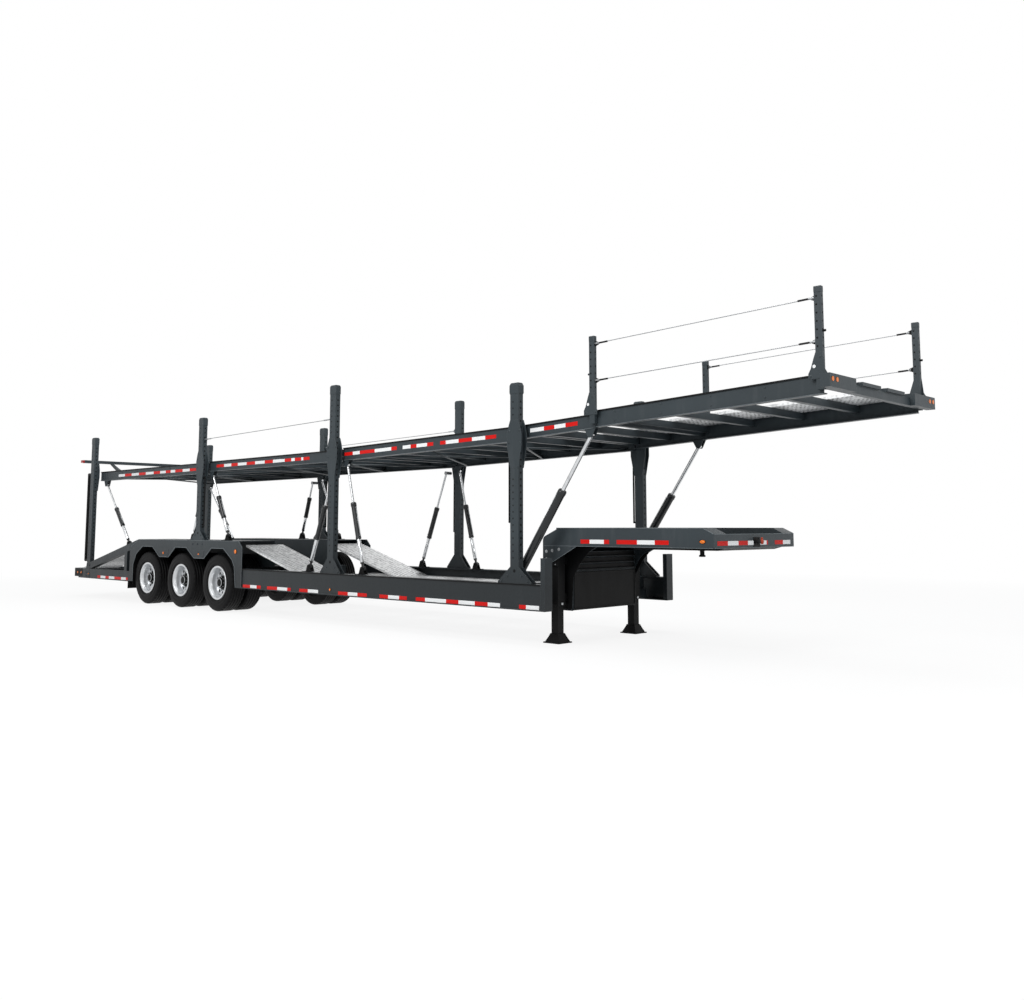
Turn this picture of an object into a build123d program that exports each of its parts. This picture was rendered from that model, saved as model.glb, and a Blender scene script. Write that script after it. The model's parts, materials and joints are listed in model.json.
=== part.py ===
from build123d import *
from math import cos, radians, sin
import os

# Car hauler trailer, in millimetres. +X is the front (the gooseneck), +Y the left side, +Z up,
# and the origin lies on the ground under the middle of the trailer.
os.makedirs("parts", exist_ok=True)

# Overall
half_width = 1250
rear_end_x = -7770
front_end_x = 7770

# Low side beams and cross members
beam_bottom_z = 395
beam_depth = 295
beam_flange = 130
beam_lip = 12
beam_web = 10
beam_flange_thickness = 14
beam_front_x = 4290
end_plate_thickness = 60
end_plate_top_z = 985
beam_top_z = beam_bottom_z + beam_depth
beam_inner_y = half_width - beam_flange
member_depth = 120
member_width = 80
member_pitch = 880
member_count = 7
member_first_x = -1500
member_top_z = beam_bottom_z + beam_flange_thickness + member_depth

# Low deck tracks
track_inner_y = 450
track_thickness = 30

# Wheels and axles
axle_front_x = -2610
axle_pitch = 1155
axle_count = 3
tyre_radius = 447.5
tyre_width = 276
tyre_bore = 250
dual_spacing = 316
outer_tyre_face_y = half_width - 28
rim_lip_radius = 266
rim_lip_width = 10
rim_wall = 12
disc_thickness = 16
hand_hole_radius = 27
hand_hole_circle = 185
hand_hole_count = 10
hub_radius = 98
hub_end_y = outer_tyre_face_y - 92
cap_radius = 66
cap_length = 40
drum_radius = 205
drum_inner_y = hub_end_y - 490
axle_tube = 130
axle_tube_half = drum_inner_y - 80
spindle_radius = 42
bearing_gap = 0.3

# Inner rails
inner_rail_y = 370
inner_rail_width = 80

# Wheel arch panels
arch_top_z = 1112
arch_rear_x = -5516
arch_flat_rear_x = -5200
arch_front_x = -1835
arch_chamfer = 100
arch_plate = 8
arch_bottom_z = 372
arch_opening_top_z = 992
arch_valley_z = 824
arch_flat_rear = 128
arch_flat_front = 233
arch_rear = 353
arch_front = 490
arch_rear_leg_x = -5383
arch_rear_leg_z = 663
arch_front_leg_x = -2003
arch_front_leg_z = 720
arch_box_inner_y = 588

# Rear low frame
rail_bottom_z = 362
rail_depth = 180
rail_width = 90
rear_member_xs = (-7050, -6375, -5700)
rear_strut_x = -5670
rear_strut_length = 100
bumper_length = 180
bumper_depth = 158
slope_rear_z = 665
slope_depth = 125

# Posts
post_length = 130
post_width = 80
post_inner_y = half_width - post_width
guide_thickness = 12
guide_half = 118
guide_top_half = 92
guide_bottom_z = 2010
guide_height = 520
cap_height = 130
# name, centre x, foot z, top z, half length of the foot, height of the foot
post_rows = (
    ("rear_posts", -7180, rail_bottom_z, 3020, 0, 0),
    ("second_posts", -3180, arch_top_z, 3110, 205, 155),
    ("third_posts", 400, beam_top_z, 3305, 225, 210),
    ("fourth_posts", 3890, beam_top_z, 2995, 260, 190),
)
post_x = {row[0]: row[1] for row in post_rows}

# Upper beds
deck_half_width = half_width - 130
deck_web = 8
deck_web_inset = 10
deck_flange = 76
deck_flange_thickness = 10
deck_plate_thickness = 5
plate_seat = 20
deck_track_inner_y = 300
deck_track_outer_y = 1040
deck_pin_radius = 22
deck_pin_gap = 0.3
deck_member_depth = 80
deck_member_width = 60
# name, rear x, rear top z, front x, front top z, depth, pivot x
bed_rows = (
    ("rear_bed", -7100, 2375, -3135, 2388, 176, -3180),
    ("middle_bed", -3100, 2398, 445, 2412, 163, 400),
    ("fore_bed", 480, 2432, 3876, 2512, 178, 3852),
    ("nose_bed", 3908, 2516, 4970, 2568, 158, 3932),
    ("nose_front", 4970, 2604, 7640, 2733, 186, 0),
)
deck_member_count = {"rear_bed": 8, "middle_bed": 7, "fore_bed": 7, "nose_bed": 3, "nose_front": 5}
nose_box_inner_y = 700
nose_box_bottom_z = 2590
nose_box_top_z = 2716
nose_box_length = 126
tail_bar_x = -7680
tail_bar_z = 2595
tail_bar_length = 80
tail_bar_depth = 56
tail_bar_half = half_width - 44
tail_arm_y = 640
tail_arm_width = 40

# Gooseneck
neck_half_width = 840
neck_side_width = 240
neck_bottom_z = 1112
neck_depth = 211
neck_rear_x = 3965
neck_corner_length = 250
neck_corner_drop = 110
neck_leg_length = 255
neck_gusset_low_z = 884
neck_gusset_front_x = 4466
neck_inner_gusset_x = 4600
neck_wall_bottom_z = 362
neck_pan_x = 5330
neck_front_x = 6277
neck_plate = 10
neck_bevel_length = 130
neck_bevel_drop = 62
neck_member_xs = (4600, 5030)
neck_member_length = 80

# Kingpin
kingpin_x = 5600
kingpin_plate_thickness = 26
kingpin_plate_half = 520
kingpin_shoulder_radius = 44
kingpin_neck_radius = 25.4
kingpin_collar_radius = 35.7

# Landing legs
leg_x = 4095
leg_tube = 125
leg_bracket = 62.5
leg_y = neck_half_width - neck_side_width + neck_plate + leg_bracket + leg_tube / 2
leg_inner_tube = 100
leg_tube_bottom_z = 425
foot_length = 240
foot_width = 235
foot_plate = 14
foot_flare = 95

# Lamps
lamp_proud = 12

# Cylinders
cylinder_y = deck_half_width - 40
eye_radius = 38
eye_width = 36
eye_pin_radius = 15
pin_gap = 0.3
neck_length = 72
neck_radius = 17
cheek_gap = 6
cheek_thickness = 9
rod_gap = 0.4
# name, foot x, foot z, eye x, eye z, barrel radius, sleeve radius, rod radius,
# barrel start, barrel end, rod start and bore start, each measured from the foot
cylinder_rows = (
    ("rear_lift", -5900, 1040, -6880, 2125, 36, 26, 16, 420, 850, 760, 130),
    ("middle_lift", -2520, 1185, -3040, 2165, 36, 26, 16, 330, 720, 440, 205),
    ("fore_lift", 920, 763, 540, 2200, 36, 26, 16, 420, 930, 690, 325),
    ("nose_lift", 3800, 763, 4900, 2345, 46, 46, 22, 72, 1190, 1000, 820),
)
prop_rows = (
    ("second_prop", -3600, 1185, -3310, 2120, 36, 26, 16, 330, 700),
    ("third_prop", -300, 763, 245, 2170, 36, 26, 16, 420, 930),
)


axle_xs = [axle_front_x - index * axle_pitch for index in range(axle_count)]


def block(x_low, x_high, y_low, y_high, z_low, z_high, mode=Mode.ADD):
    with Locations(((x_low + x_high) / 2, (y_low + y_high) / 2, (z_low + z_high) / 2)):
        Box(x_high - x_low, y_high - y_low, z_high - z_low, mode=mode)


def side_plate(outline, y_low, y_high, mode=Mode.ADD):
    with BuildSketch(Plane.XZ.offset(-y_high)) as profile:
        with BuildLine():
            Polyline(*outline, close=True)
        make_face()
    extrude(profile.sketch, amount=y_high - y_low, mode=mode)


def round_bar(start, end, radius, mode=Mode.ADD):
    along = Vector(*end) - Vector(*start)
    with BuildSketch(Plane(origin=start, z_dir=along)) as section:
        Circle(radius)
    extrude(section.sketch, amount=along.length, mode=mode)


def cross_bar(x, z, y_low, y_high, radius, mode=Mode.ADD):
    round_bar((x, y_low, z), (x, y_high, z), radius, mode)


def turned(axle_x, outline):
    # outline is in radius and distance from the middle of the trailer, turned about the axle line
    with BuildSketch(Plane(origin=(axle_x, 0, tyre_radius), x_dir=(1, 0, 0), z_dir=(0, 0, 1))) as profile:
        with BuildLine():
            Polyline(*outline, close=True)
        make_face()
    revolve(profile.sketch, axis=Axis((axle_x, 0, tyre_radius), (0, 1, 0)))


def slope_line(x):
    # height of the top of the climbing side beam of the tail
    run = arch_flat_rear_x - post_x["rear_posts"] - post_length / 2
    return arch_top_z + (x - arch_flat_rear_x) * (arch_top_z - slope_rear_z) / run


def finish(builder, label):
    builder.part.label = label
    export_step(builder.part, "parts/" + label + ".step")


# Low side beams: a channel with lipped flanges on each side, closed at the front by an upright box
with BuildPart() as side_beams:
    block(arch_front_x, beam_front_x, -half_width + beam_lip, -half_width + beam_lip + beam_web,
          beam_bottom_z, beam_top_z)
    block(arch_front_x, beam_front_x, -half_width, -beam_inner_y,
          beam_bottom_z, beam_bottom_z + beam_flange_thickness)
    block(arch_front_x, beam_front_x, -half_width, -beam_inner_y,
          beam_top_z - beam_flange_thickness, beam_top_z)
    block(beam_front_x, beam_front_x + end_plate_thickness, -half_width, -beam_inner_y,
          beam_bottom_z, end_plate_top_z)
    mirror(about=Plane.XZ)
finish(side_beams, "side_beams")

# Cross members of the low deck, between the webs of the side beams
web_inner_y = half_width - beam_lip - beam_web
with BuildPart() as cross_members:
    for index in range(member_count):
        x = member_first_x + index * member_pitch
        block(x - member_width / 2, x + member_width / 2, -web_inner_y, web_inner_y,
              member_top_z - member_depth, member_top_z)
finish(cross_members, "cross_members")

# Low deck tracks: punched plate with folded edges on the cross members
member_last_x = member_first_x + (member_count - 1) * member_pitch
with BuildPart() as low_deck_tracks:
    block(member_first_x - member_width / 2, member_last_x + member_width / 2,
          -beam_inner_y, -track_inner_y, member_top_z, member_top_z + track_thickness)
    mirror(about=Plane.XZ)
finish(low_deck_tracks, "low_deck_tracks")

# Wheel arch panels: a side plate with three eight-sided arches, a top plate and an inner wall
with BuildPart() as arch_panels:
    panel_outline = [
        (arch_rear_x, arch_bottom_z), (arch_rear_x, slope_line(arch_rear_x) - slope_depth),
        (arch_flat_rear_x - 90, slope_line(arch_flat_rear_x - 90) - slope_depth),
        (arch_flat_rear_x, arch_top_z),
        (arch_front_x - arch_chamfer, arch_top_z), (arch_front_x, arch_top_z - arch_chamfer),
        (arch_front_x, beam_bottom_z), (arch_front_leg_x, beam_bottom_z),
        (arch_front_leg_x, arch_front_leg_z - 300), (arch_front_leg_x - 43, arch_front_leg_z),
        (axle_xs[0] + arch_front, arch_valley_z),
        (axle_xs[0] + arch_flat_front, arch_opening_top_z), (axle_xs[0] - arch_flat_rear, arch_opening_top_z),
        (axle_xs[0] - arch_rear, arch_valley_z), (axle_xs[1] + arch_front, arch_valley_z),
        (axle_xs[1] + arch_flat_front, arch_opening_top_z), (axle_xs[1] - arch_flat_rear, arch_opening_top_z),
        (axle_xs[1] - arch_rear, arch_valley_z), (axle_xs[2] + arch_front, arch_valley_z),
        (axle_xs[2] + arch_flat_front, arch_opening_top_z), (axle_xs[2] - arch_flat_rear, arch_opening_top_z),
        (axle_xs[2] - arch_rear, arch_valley_z + 30), (arch_rear_leg_x, arch_rear_leg_z),
        (arch_rear_leg_x, arch_bottom_z),
    ]
    side_plate(panel_outline, -half_width, -half_width + arch_plate)
    block(arch_flat_rear_x, arch_front_x - arch_chamfer, -half_width + arch_plate, -arch_box_inner_y,
          arch_top_z - arch_plate, arch_top_z)
    block(arch_flat_rear_x, arch_front_x - arch_chamfer, -arch_box_inner_y - arch_plate, -arch_box_inner_y,
          beam_top_z, arch_top_z - arch_plate)
    mirror(about=Plane.XZ)
finish(arch_panels, "arch_panels")

# Tracks of the tail, which climb from the bumper to the arch boxes, and ramps that fall from there
# to the low deck
tail_track_rear_x = rear_end_x + bumper_length
ramp_rear_x = arch_front_x - arch_chamfer
ramp_rear_z = 1050
ramp_front_x = -214
ramp_front_z = member_top_z + track_thickness + 4
with BuildPart() as ramp_tracks:
    side_plate([(tail_track_rear_x, slope_line(tail_track_rear_x) - 5),
                (arch_flat_rear_x, slope_line(arch_flat_rear_x) - 5),
                (arch_flat_rear_x, slope_line(arch_flat_rear_x) - 5 - track_thickness),
                (tail_track_rear_x, slope_line(tail_track_rear_x) - 5 - track_thickness)],
               -half_width + rail_width, -inner_rail_y - inner_rail_width - 10)
    side_plate([(ramp_rear_x, ramp_rear_z), (ramp_front_x, ramp_front_z),
                (ramp_front_x, ramp_front_z - 4), (ramp_front_x - 80, ramp_front_z - 4),
                (ramp_rear_x, ramp_rear_z - track_thickness)],
               -beam_inner_y, -track_inner_y)
    mirror(about=Plane.XZ)
finish(ramp_tracks, "ramp_tracks")

# Inner rails over the axles
inner_rail_bottom_z = member_top_z
inner_rail_depth = 180
inner_rail_rear_x = -7100
inner_rail_front_x = member_first_x + member_width / 2
with BuildPart() as inner_rails:
    block(inner_rail_rear_x, inner_rail_front_x, -inner_rail_y - inner_rail_width, -inner_rail_y,
          inner_rail_bottom_z, inner_rail_bottom_z + inner_rail_depth)
    mirror(about=Plane.XZ)
finish(inner_rails, "inner_rails")

# Spring hangers between the axles, on the outside of the inner rails
hanger_length = 120
hanger_bottom_z = 470
hanger_outer_y = 575
hanger_xs = [axle_front_x + axle_pitch / 2 - index * axle_pitch for index in range(axle_count + 1)]
with BuildPart() as spring_hangers:
    for hanger_x in hanger_xs:
        side_plate([(hanger_x - hanger_length, inner_rail_bottom_z + inner_rail_depth),
                    (hanger_x - hanger_length / 2, hanger_bottom_z),
                    (hanger_x + hanger_length / 2, hanger_bottom_z),
                    (hanger_x + hanger_length, inner_rail_bottom_z + inner_rail_depth)],
                   -hanger_outer_y, -inner_rail_y - inner_rail_width)
    mirror(about=Plane.XZ)
finish(spring_hangers, "spring_hangers")

# Leaf springs over the axle tubes, each a bowed pack between two hangers
spring_y = 520
spring_width = 76
spring_depth = 45
axle_top_z = tyre_radius + axle_tube / 2
spring_half = axle_pitch / 2 - hanger_length / 2 - (
    axle_top_z + 60 + spring_depth / 3 - hanger_bottom_z) * hanger_length / 2 / (
    inner_rail_bottom_z + inner_rail_depth - hanger_bottom_z)
with BuildPart() as leaf_springs:
    for axle_x in axle_xs:
        with BuildSketch(Plane.XZ.offset(spring_y - spring_width / 2)) as leaf:
            with BuildLine():
                ThreePointArc((axle_x - spring_half, axle_top_z + 60), (axle_x, axle_top_z),
                              (axle_x + spring_half, axle_top_z + 60))
                Line((axle_x + spring_half, axle_top_z + 60),
                     (axle_x + spring_half, axle_top_z + 60 + spring_depth / 3))
                ThreePointArc((axle_x + spring_half, axle_top_z + 60 + spring_depth / 3),
                              (axle_x, axle_top_z + spring_depth),
                              (axle_x - spring_half, axle_top_z + 60 + spring_depth / 3))
                Line((axle_x - spring_half, axle_top_z + 60 + spring_depth / 3),
                     (axle_x - spring_half, axle_top_z + 60))
            make_face()
        extrude(leaf.sketch, amount=spring_width)
    mirror(about=Plane.XZ)
finish(leaf_springs, "leaf_springs")

# Axles: a square tube with a turned spindle at each end
spindle_end_y = hub_end_y - 20
with BuildPart() as axles:
    for axle_x in axle_xs:
        block(axle_x - axle_tube / 2, axle_x + axle_tube / 2, -axle_tube_half, axle_tube_half,
              tyre_radius - axle_tube / 2, tyre_radius + axle_tube / 2)
        cross_bar(axle_x, tyre_radius, -spindle_end_y, spindle_end_y, spindle_radius)
finish(axles, "axles")

# Wheels: two tyres and two rims with hub and drum on each spindle, as one turning body
dual_middle_y = outer_tyre_face_y - tyre_width / 2 - dual_spacing / 2
lip_half = tyre_width / 2 - 26
axle_names = ("front", "middle", "rear")
for index, axle_x in enumerate(axle_xs):
    for side_name, side in (("right", -1), ("left", 1)):
        stem = axle_names[index] + "_" + side_name
        with BuildPart() as tyres:
            for centre_y in (dual_middle_y - dual_spacing / 2, dual_middle_y + dual_spacing / 2):
                turned(axle_x, [
                    (tyre_bore + pin_gap, side * (centre_y - lip_half)),
                    (rim_lip_radius + 4, side * (centre_y - lip_half)),
                    (tyre_bore + 45, side * (centre_y - tyre_width / 2 + 4)),
                    (tyre_bore + 110, side * (centre_y - tyre_width / 2)),
                    (tyre_radius - 24, side * (centre_y - tyre_width / 2 + 12)),
                    (tyre_radius, side * (centre_y - tyre_width / 2 + 32)),
                    (tyre_radius, side * (centre_y + tyre_width / 2 - 32)),
                    (tyre_radius - 24, side * (centre_y + tyre_width / 2 - 12)),
                    (tyre_bore + 110, side * (centre_y + tyre_width / 2)),
                    (tyre_bore + 45, side * (centre_y + tyre_width / 2 - 4)),
                    (rim_lip_radius + 4, side * (centre_y + lip_half)),
                    (tyre_bore + pin_gap, side * (centre_y + lip_half)),
                ])
        finish(tyres, "tyres_" + stem)
        with BuildPart() as rims:
            for centre_y in (dual_middle_y - dual_spacing / 2, dual_middle_y + dual_spacing / 2):
                outer = side * (centre_y + lip_half)
                inner = side * (centre_y - lip_half)
                turned(axle_x, [
                    (tyre_bore - rim_wall, inner - side * rim_lip_width),
                    (rim_lip_radius, inner - side * rim_lip_width),
                    (rim_lip_radius, inner - side * pin_gap), (tyre_bore, inner - side * pin_gap),
                    (tyre_bore, outer + side * pin_gap), (rim_lip_radius, outer + side * pin_gap),
                    (rim_lip_radius, outer + side * rim_lip_width),
                    (tyre_bore - rim_wall, outer + side * rim_lip_width),
                ])
            turned(axle_x, [
                (hub_radius, side * (dual_middle_y - disc_thickness)),
                (tyre_bore - rim_wall, side * (dual_middle_y - disc_thickness)),
                (tyre_bore - rim_wall, side * (dual_middle_y - 60)),
                (tyre_bore, side * (dual_middle_y - 60)),
                (tyre_bore, side * (dual_middle_y + 60)),
                (tyre_bore - rim_wall, side * (dual_middle_y + 60)),
                (tyre_bore - rim_wall, side * (dual_middle_y + disc_thickness)),
                (hub_radius, side * (dual_middle_y + disc_thickness)),
            ])
            turned(axle_x, [
                (spindle_radius + bearing_gap, side * drum_inner_y),
                (drum_radius, side * drum_inner_y),
                (drum_radius, side * (dual_middle_y - disc_thickness)),
                (hub_radius, side * (dual_middle_y - disc_thickness)),
                (hub_radius, side * (hub_end_y - 30)),
                (cap_radius, side * hub_end_y),
                (cap_radius, side * (hub_end_y + cap_length)),
                (0, side * (hub_end_y + cap_length)),
                (0, side * hub_end_y),
                (spindle_radius + bearing_gap, side * hub_end_y),
            ])
            with BuildSketch(Plane(origin=(axle_x, side * (dual_middle_y - 40), tyre_radius),
                                   x_dir=(1, 0, 0), z_dir=(0, side, 0))) as holes:
                with PolarLocations(hand_hole_circle, hand_hole_count):
                    Circle(hand_hole_radius)
            extrude(holes.sketch, amount=80, mode=Mode.SUBTRACT)
        finish(rims, "rims_" + stem)

# Rear low frame: side rails, climbing side beams, bumper box and cross members
rail_top_z = rail_bottom_z + rail_depth
bumper_bottom_z = rail_top_z - bumper_depth
with BuildPart() as rear_frame:
    block(rear_end_x + bumper_length, arch_rear_x, -half_width, -half_width + rail_width,
          rail_bottom_z, rail_top_z)
    block(rear_end_x + 12, rear_end_x + bumper_length, -half_width, half_width, bumper_bottom_z, rail_top_z)
    post_front_x = post_x["rear_posts"] + post_length / 2
    slope_end_x = arch_flat_rear_x - 90
    side_plate([
        (post_front_x, slope_line(post_front_x) - slope_depth),
        (post_front_x, slope_line(post_front_x)),
        (arch_flat_rear_x, arch_top_z),
        (slope_end_x, slope_line(slope_end_x) - slope_depth),
    ], -half_width, -half_width + rail_width)
    strut_rear_x = rear_strut_x - rear_strut_length / 2
    block(strut_rear_x, rear_strut_x + rear_strut_length / 2, -half_width, -half_width + rail_width,
          rail_top_z, slope_line(strut_rear_x) - slope_depth + 20)
    block(post_x["rear_posts"] - post_length / 2, post_x["rear_posts"] + post_length / 2,
          -half_width, -post_inner_y, rail_bottom_z, rail_top_z, Mode.SUBTRACT)
    mirror(about=Plane.XZ)
    for member_x in rear_member_xs:
        block(member_x - member_width / 2, member_x + member_width / 2, -half_width + rail_width,
              half_width - rail_width, member_top_z - member_depth, member_top_z)
finish(rear_frame, "rear_frame")

# Tail lamps in the bumper and round marker lamps along the sides
tail_lamp_y = half_width - 240
with BuildPart() as tail_lamps:
    block(rear_end_x, rear_end_x + 12, -tail_lamp_y - 150, -tail_lamp_y + 150,
          bumper_bottom_z + 30, rail_top_z - 30)
    mirror(about=Plane.XZ)
finish(tail_lamps, "tail_lamps")

# Mud flaps behind the rear wheels
with BuildPart() as mud_flaps:
    flap_x = arch_rear_x - 30
    block(flap_x - 10, flap_x, -half_width, -arch_box_inner_y - 30, 240, rail_bottom_z)
    mirror(about=Plane.XZ)
finish(mud_flaps, "mud_flaps")

# Posts: box section masts with flared feet, pin holes and guide plates at the height of the beds
pivot_of = {}
for name, rear_x, rear_z, front_x, front_z, depth, pivot_x in bed_rows:
    slope = (front_z - rear_z) / (front_x - rear_x)
    pivot_of[name] = (pivot_x, rear_z + slope * (pivot_x - rear_x) - depth / 2)
bearing_rows = (
    ("second_posts", "rear_bed"), ("third_posts", "middle_bed"),
    ("fourth_posts", "fore_bed"), ("fourth_posts", "nose_bed"),
)
with BuildPart() as posts:
    for name, centre_x, foot_z, top_z, foot_half, foot_height in post_rows:
        low_x = centre_x - post_length / 2
        high_x = centre_x + post_length / 2
        block(low_x, high_x, -half_width, -post_inner_y, foot_z, top_z)
        if foot_half > 0:
            for plate_low, plate_high in ((-half_width, -half_width + 12), (-post_inner_y - 12, -post_inner_y)):
                side_plate([(centre_x - foot_half, foot_z), (centre_x - foot_half, foot_z + 20),
                            (low_x, foot_z + foot_height), (high_x, foot_z + foot_height),
                            (centre_x + foot_half, foot_z + 20), (centre_x + foot_half, foot_z)],
                           plate_low, plate_high)
            block(centre_x - foot_half, centre_x + foot_half, -half_width + 12, -post_inner_y - 12,
                  foot_z, foot_z + 14)
        middle_z = guide_bottom_z + guide_height / 2
        guide_top_z = guide_bottom_z + guide_height
        side_plate([(low_x, guide_bottom_z), (centre_x - guide_half, middle_z),
                    (centre_x - guide_half, guide_top_z - 130), (centre_x - guide_top_half, guide_top_z - 30),
                    (low_x, guide_top_z + 40), (high_x, guide_top_z + 40),
                    (centre_x + guide_top_half, guide_top_z - 30), (centre_x + guide_half, guide_top_z - 130),
                    (centre_x + guide_half, middle_z), (high_x, guide_bottom_z)],
                   -post_inner_y, -post_inner_y + guide_thickness)
        if name == "fourth_posts":
            side_plate([(low_x, top_z - cap_height), (low_x - 12, top_z - cap_height + 20),
                        (low_x - 12, top_z - 25), (low_x + 12, top_z), (high_x - 12, top_z),
                        (high_x + 12, top_z - 25), (high_x + 12, top_z - cap_height + 20),
                        (high_x, top_z - cap_height)], -half_width, -post_inner_y)
        for post_name, bed_name in bearing_rows:
            if post_name == name:
                pivot_x, pivot_z = pivot_of[bed_name]
                cross_bar(pivot_x, pivot_z, -half_width, -post_inner_y + guide_thickness,
                          deck_pin_radius + deck_pin_gap, Mode.SUBTRACT)
    mirror(about=Plane.XZ)
finish(posts, "posts")

# Gooseneck: a box beam on each side with gusset plates that reach down to the low deck, cross beams,
# deck plate and bolster
neck_top_z = neck_bottom_z + neck_depth
neck_inner_y = neck_half_width - neck_side_width
neck_wall_x = neck_rear_x + neck_leg_length
with BuildPart() as gooseneck:
    with BuildSketch(Plane.XZ.offset(neck_inner_y)) as neck_side:
        with BuildLine():
            Polyline((neck_rear_x, neck_bottom_z), (neck_rear_x, neck_top_z - neck_corner_drop),
                     (neck_rear_x + neck_corner_length, neck_top_z),
                     (neck_front_x - neck_bevel_length, neck_top_z),
                     (neck_front_x, neck_top_z - neck_bevel_drop), (neck_front_x, neck_bottom_z), close=True)
        make_face()
        fillet(neck_side.vertices().sort_by(
            lambda corner: abs(corner.X - neck_rear_x) + abs(corner.Y - neck_top_z + neck_corner_drop))[0], 60)
    extrude(neck_side.sketch, amount=neck_side_width)
    side_plate([(neck_rear_x, neck_bottom_z), (neck_rear_x, neck_gusset_low_z + 50),
                (neck_rear_x + 65, neck_gusset_low_z), (neck_gusset_front_x, neck_bottom_z)],
               -neck_half_width, -neck_half_width + neck_plate)
    with BuildSketch(Plane.XZ.offset(neck_inner_y)) as inner_plate:
        with BuildLine():
            Polyline((neck_wall_x - 20, neck_bottom_z), (neck_rear_x + 20, neck_bottom_z),
                     (neck_rear_x + 20, neck_wall_bottom_z), (neck_wall_x, neck_wall_bottom_z),
                     (neck_wall_x, neck_wall_bottom_z + 360))
            TangentArc((neck_wall_x, neck_wall_bottom_z + 360), (neck_inner_gusset_x - 130, neck_bottom_z - 70),
                       tangent=(0, 1))
            Line((neck_inner_gusset_x - 130, neck_bottom_z - 70), (neck_inner_gusset_x, neck_bottom_z))
            Line((neck_inner_gusset_x, neck_bottom_z), (neck_wall_x - 20, neck_bottom_z))
        make_face()
    extrude(inner_plate.sketch, amount=neck_plate)
    mirror(about=Plane.XZ)
    block(neck_front_x - 60, neck_front_x, -neck_inner_y, neck_inner_y, neck_bottom_z,
          neck_top_z - neck_bevel_drop)
    block(neck_rear_x, neck_rear_x + 160, -neck_inner_y, neck_inner_y, neck_bottom_z, neck_top_z - neck_plate)
    block(neck_rear_x, neck_pan_x, -neck_inner_y, neck_inner_y, neck_top_z - neck_plate, neck_top_z)
    block(neck_pan_x - neck_plate, neck_pan_x, -neck_inner_y, neck_inner_y, neck_bottom_z,
          neck_top_z - neck_plate)
    block(neck_rear_x + 20, neck_wall_x, -neck_inner_y - 4, neck_inner_y + 4,
          neck_wall_bottom_z + 60, neck_wall_bottom_z + 150)
    block(neck_rear_x, neck_rear_x + 60, -beam_inner_y, beam_inner_y, beam_bottom_z + 15, member_top_z)
    block(neck_rear_x, neck_rear_x + 20, -beam_inner_y, beam_inner_y, member_top_z, beam_top_z)
    block(neck_rear_x, neck_rear_x + 20, -neck_half_width, neck_half_width, beam_top_z, neck_bottom_z)
    for member_x in neck_member_xs:
        block(member_x - neck_member_length / 2, member_x + neck_member_length / 2, -neck_inner_y, neck_inner_y,
              neck_bottom_z, neck_top_z - neck_plate)
    block(neck_wall_x - 2, neck_wall_x + 8, -neck_inner_y - 4, neck_inner_y + 4, neck_wall_bottom_z + 5,
          neck_bottom_z - 70)
    for rib_z in (830, 905, 980):
        side_plate([(neck_wall_x + 8, rib_z - 12), (neck_wall_x + 34, rib_z), (neck_wall_x + 34, rib_z + 10),
                    (neck_wall_x + 8, rib_z + 22)], -neck_inner_y + 20, neck_inner_y - 20)
finish(gooseneck, "gooseneck")

# Kingpin and its coupler plate
kingpin_plate_z = neck_bottom_z - kingpin_plate_thickness
with BuildPart() as coupler_plate:
    side_plate([(kingpin_x - kingpin_plate_half, neck_bottom_z), (kingpin_x - kingpin_plate_half + 60, kingpin_plate_z),
                (neck_front_x - 110, kingpin_plate_z), (neck_front_x - 20, neck_bottom_z)],
               -neck_inner_y, neck_inner_y)
    block(neck_pan_x, neck_front_x - 60, -neck_inner_y, neck_inner_y, neck_bottom_z, neck_bottom_z + neck_plate)
    round_bar((kingpin_x, 0, kingpin_plate_z), (kingpin_x, 0, kingpin_plate_z - 18), kingpin_shoulder_radius)
    round_bar((kingpin_x, 0, kingpin_plate_z - 18), (kingpin_x, 0, kingpin_plate_z - 66), kingpin_neck_radius)
    round_bar((kingpin_x, 0, kingpin_plate_z - 66), (kingpin_x, 0, kingpin_plate_z - 86), kingpin_collar_radius)
finish(coupler_plate, "kingpin_plate")

# Landing legs: outer tubes with a gear box and brackets, inner tubes and flared feet
with BuildPart() as landing_legs:
    block(leg_x - leg_tube / 2, leg_x + leg_tube / 2, -leg_y - leg_tube / 2, -leg_y + leg_tube / 2,
          leg_tube_bottom_z, neck_bottom_z)
    for bracket_z in (480, 900):
        block(leg_x - 45, leg_x + 45, -leg_y + leg_tube / 2, -neck_inner_y - neck_plate, bracket_z, bracket_z + 80)
    block(leg_x - 60, leg_x + 70, -leg_y - leg_tube / 2 - 22, -leg_y - leg_tube / 2, 880, 1000)
    block(leg_x - leg_inner_tube / 2, leg_x + leg_inner_tube / 2, -leg_y - leg_inner_tube / 2,
          -leg_y + leg_inner_tube / 2, foot_plate, leg_tube_bottom_z)
    block(leg_x - foot_length / 2, leg_x + foot_length / 2, -leg_y - foot_width / 2, -leg_y + foot_width / 2,
          0, foot_plate)
    with BuildSketch(Plane.XY.offset(foot_plate)) as flare_low:
        with Locations((leg_x, -leg_y)):
            Rectangle(foot_length - 40, foot_width - 40)
    with BuildSketch(Plane.XY.offset(foot_plate + foot_flare)) as flare_high:
        with Locations((leg_x, -leg_y)):
            Rectangle(leg_inner_tube + 20, leg_inner_tube + 20)
    loft([flare_low.sketch.faces()[0], flare_high.sketch.faces()[0]])
    mirror(about=Plane.XZ)
finish(landing_legs, "landing_legs")


# Upper beds: a channel on each side with its pivot pin and brackets for the cylinder, cross members
# between them, and punched tracks
def top_at(row, x):
    rear_x, rear_z, front_x, front_z = row[1:5]
    return rear_z + (front_z - rear_z) * (x - rear_x) / (front_x - rear_x)


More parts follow.
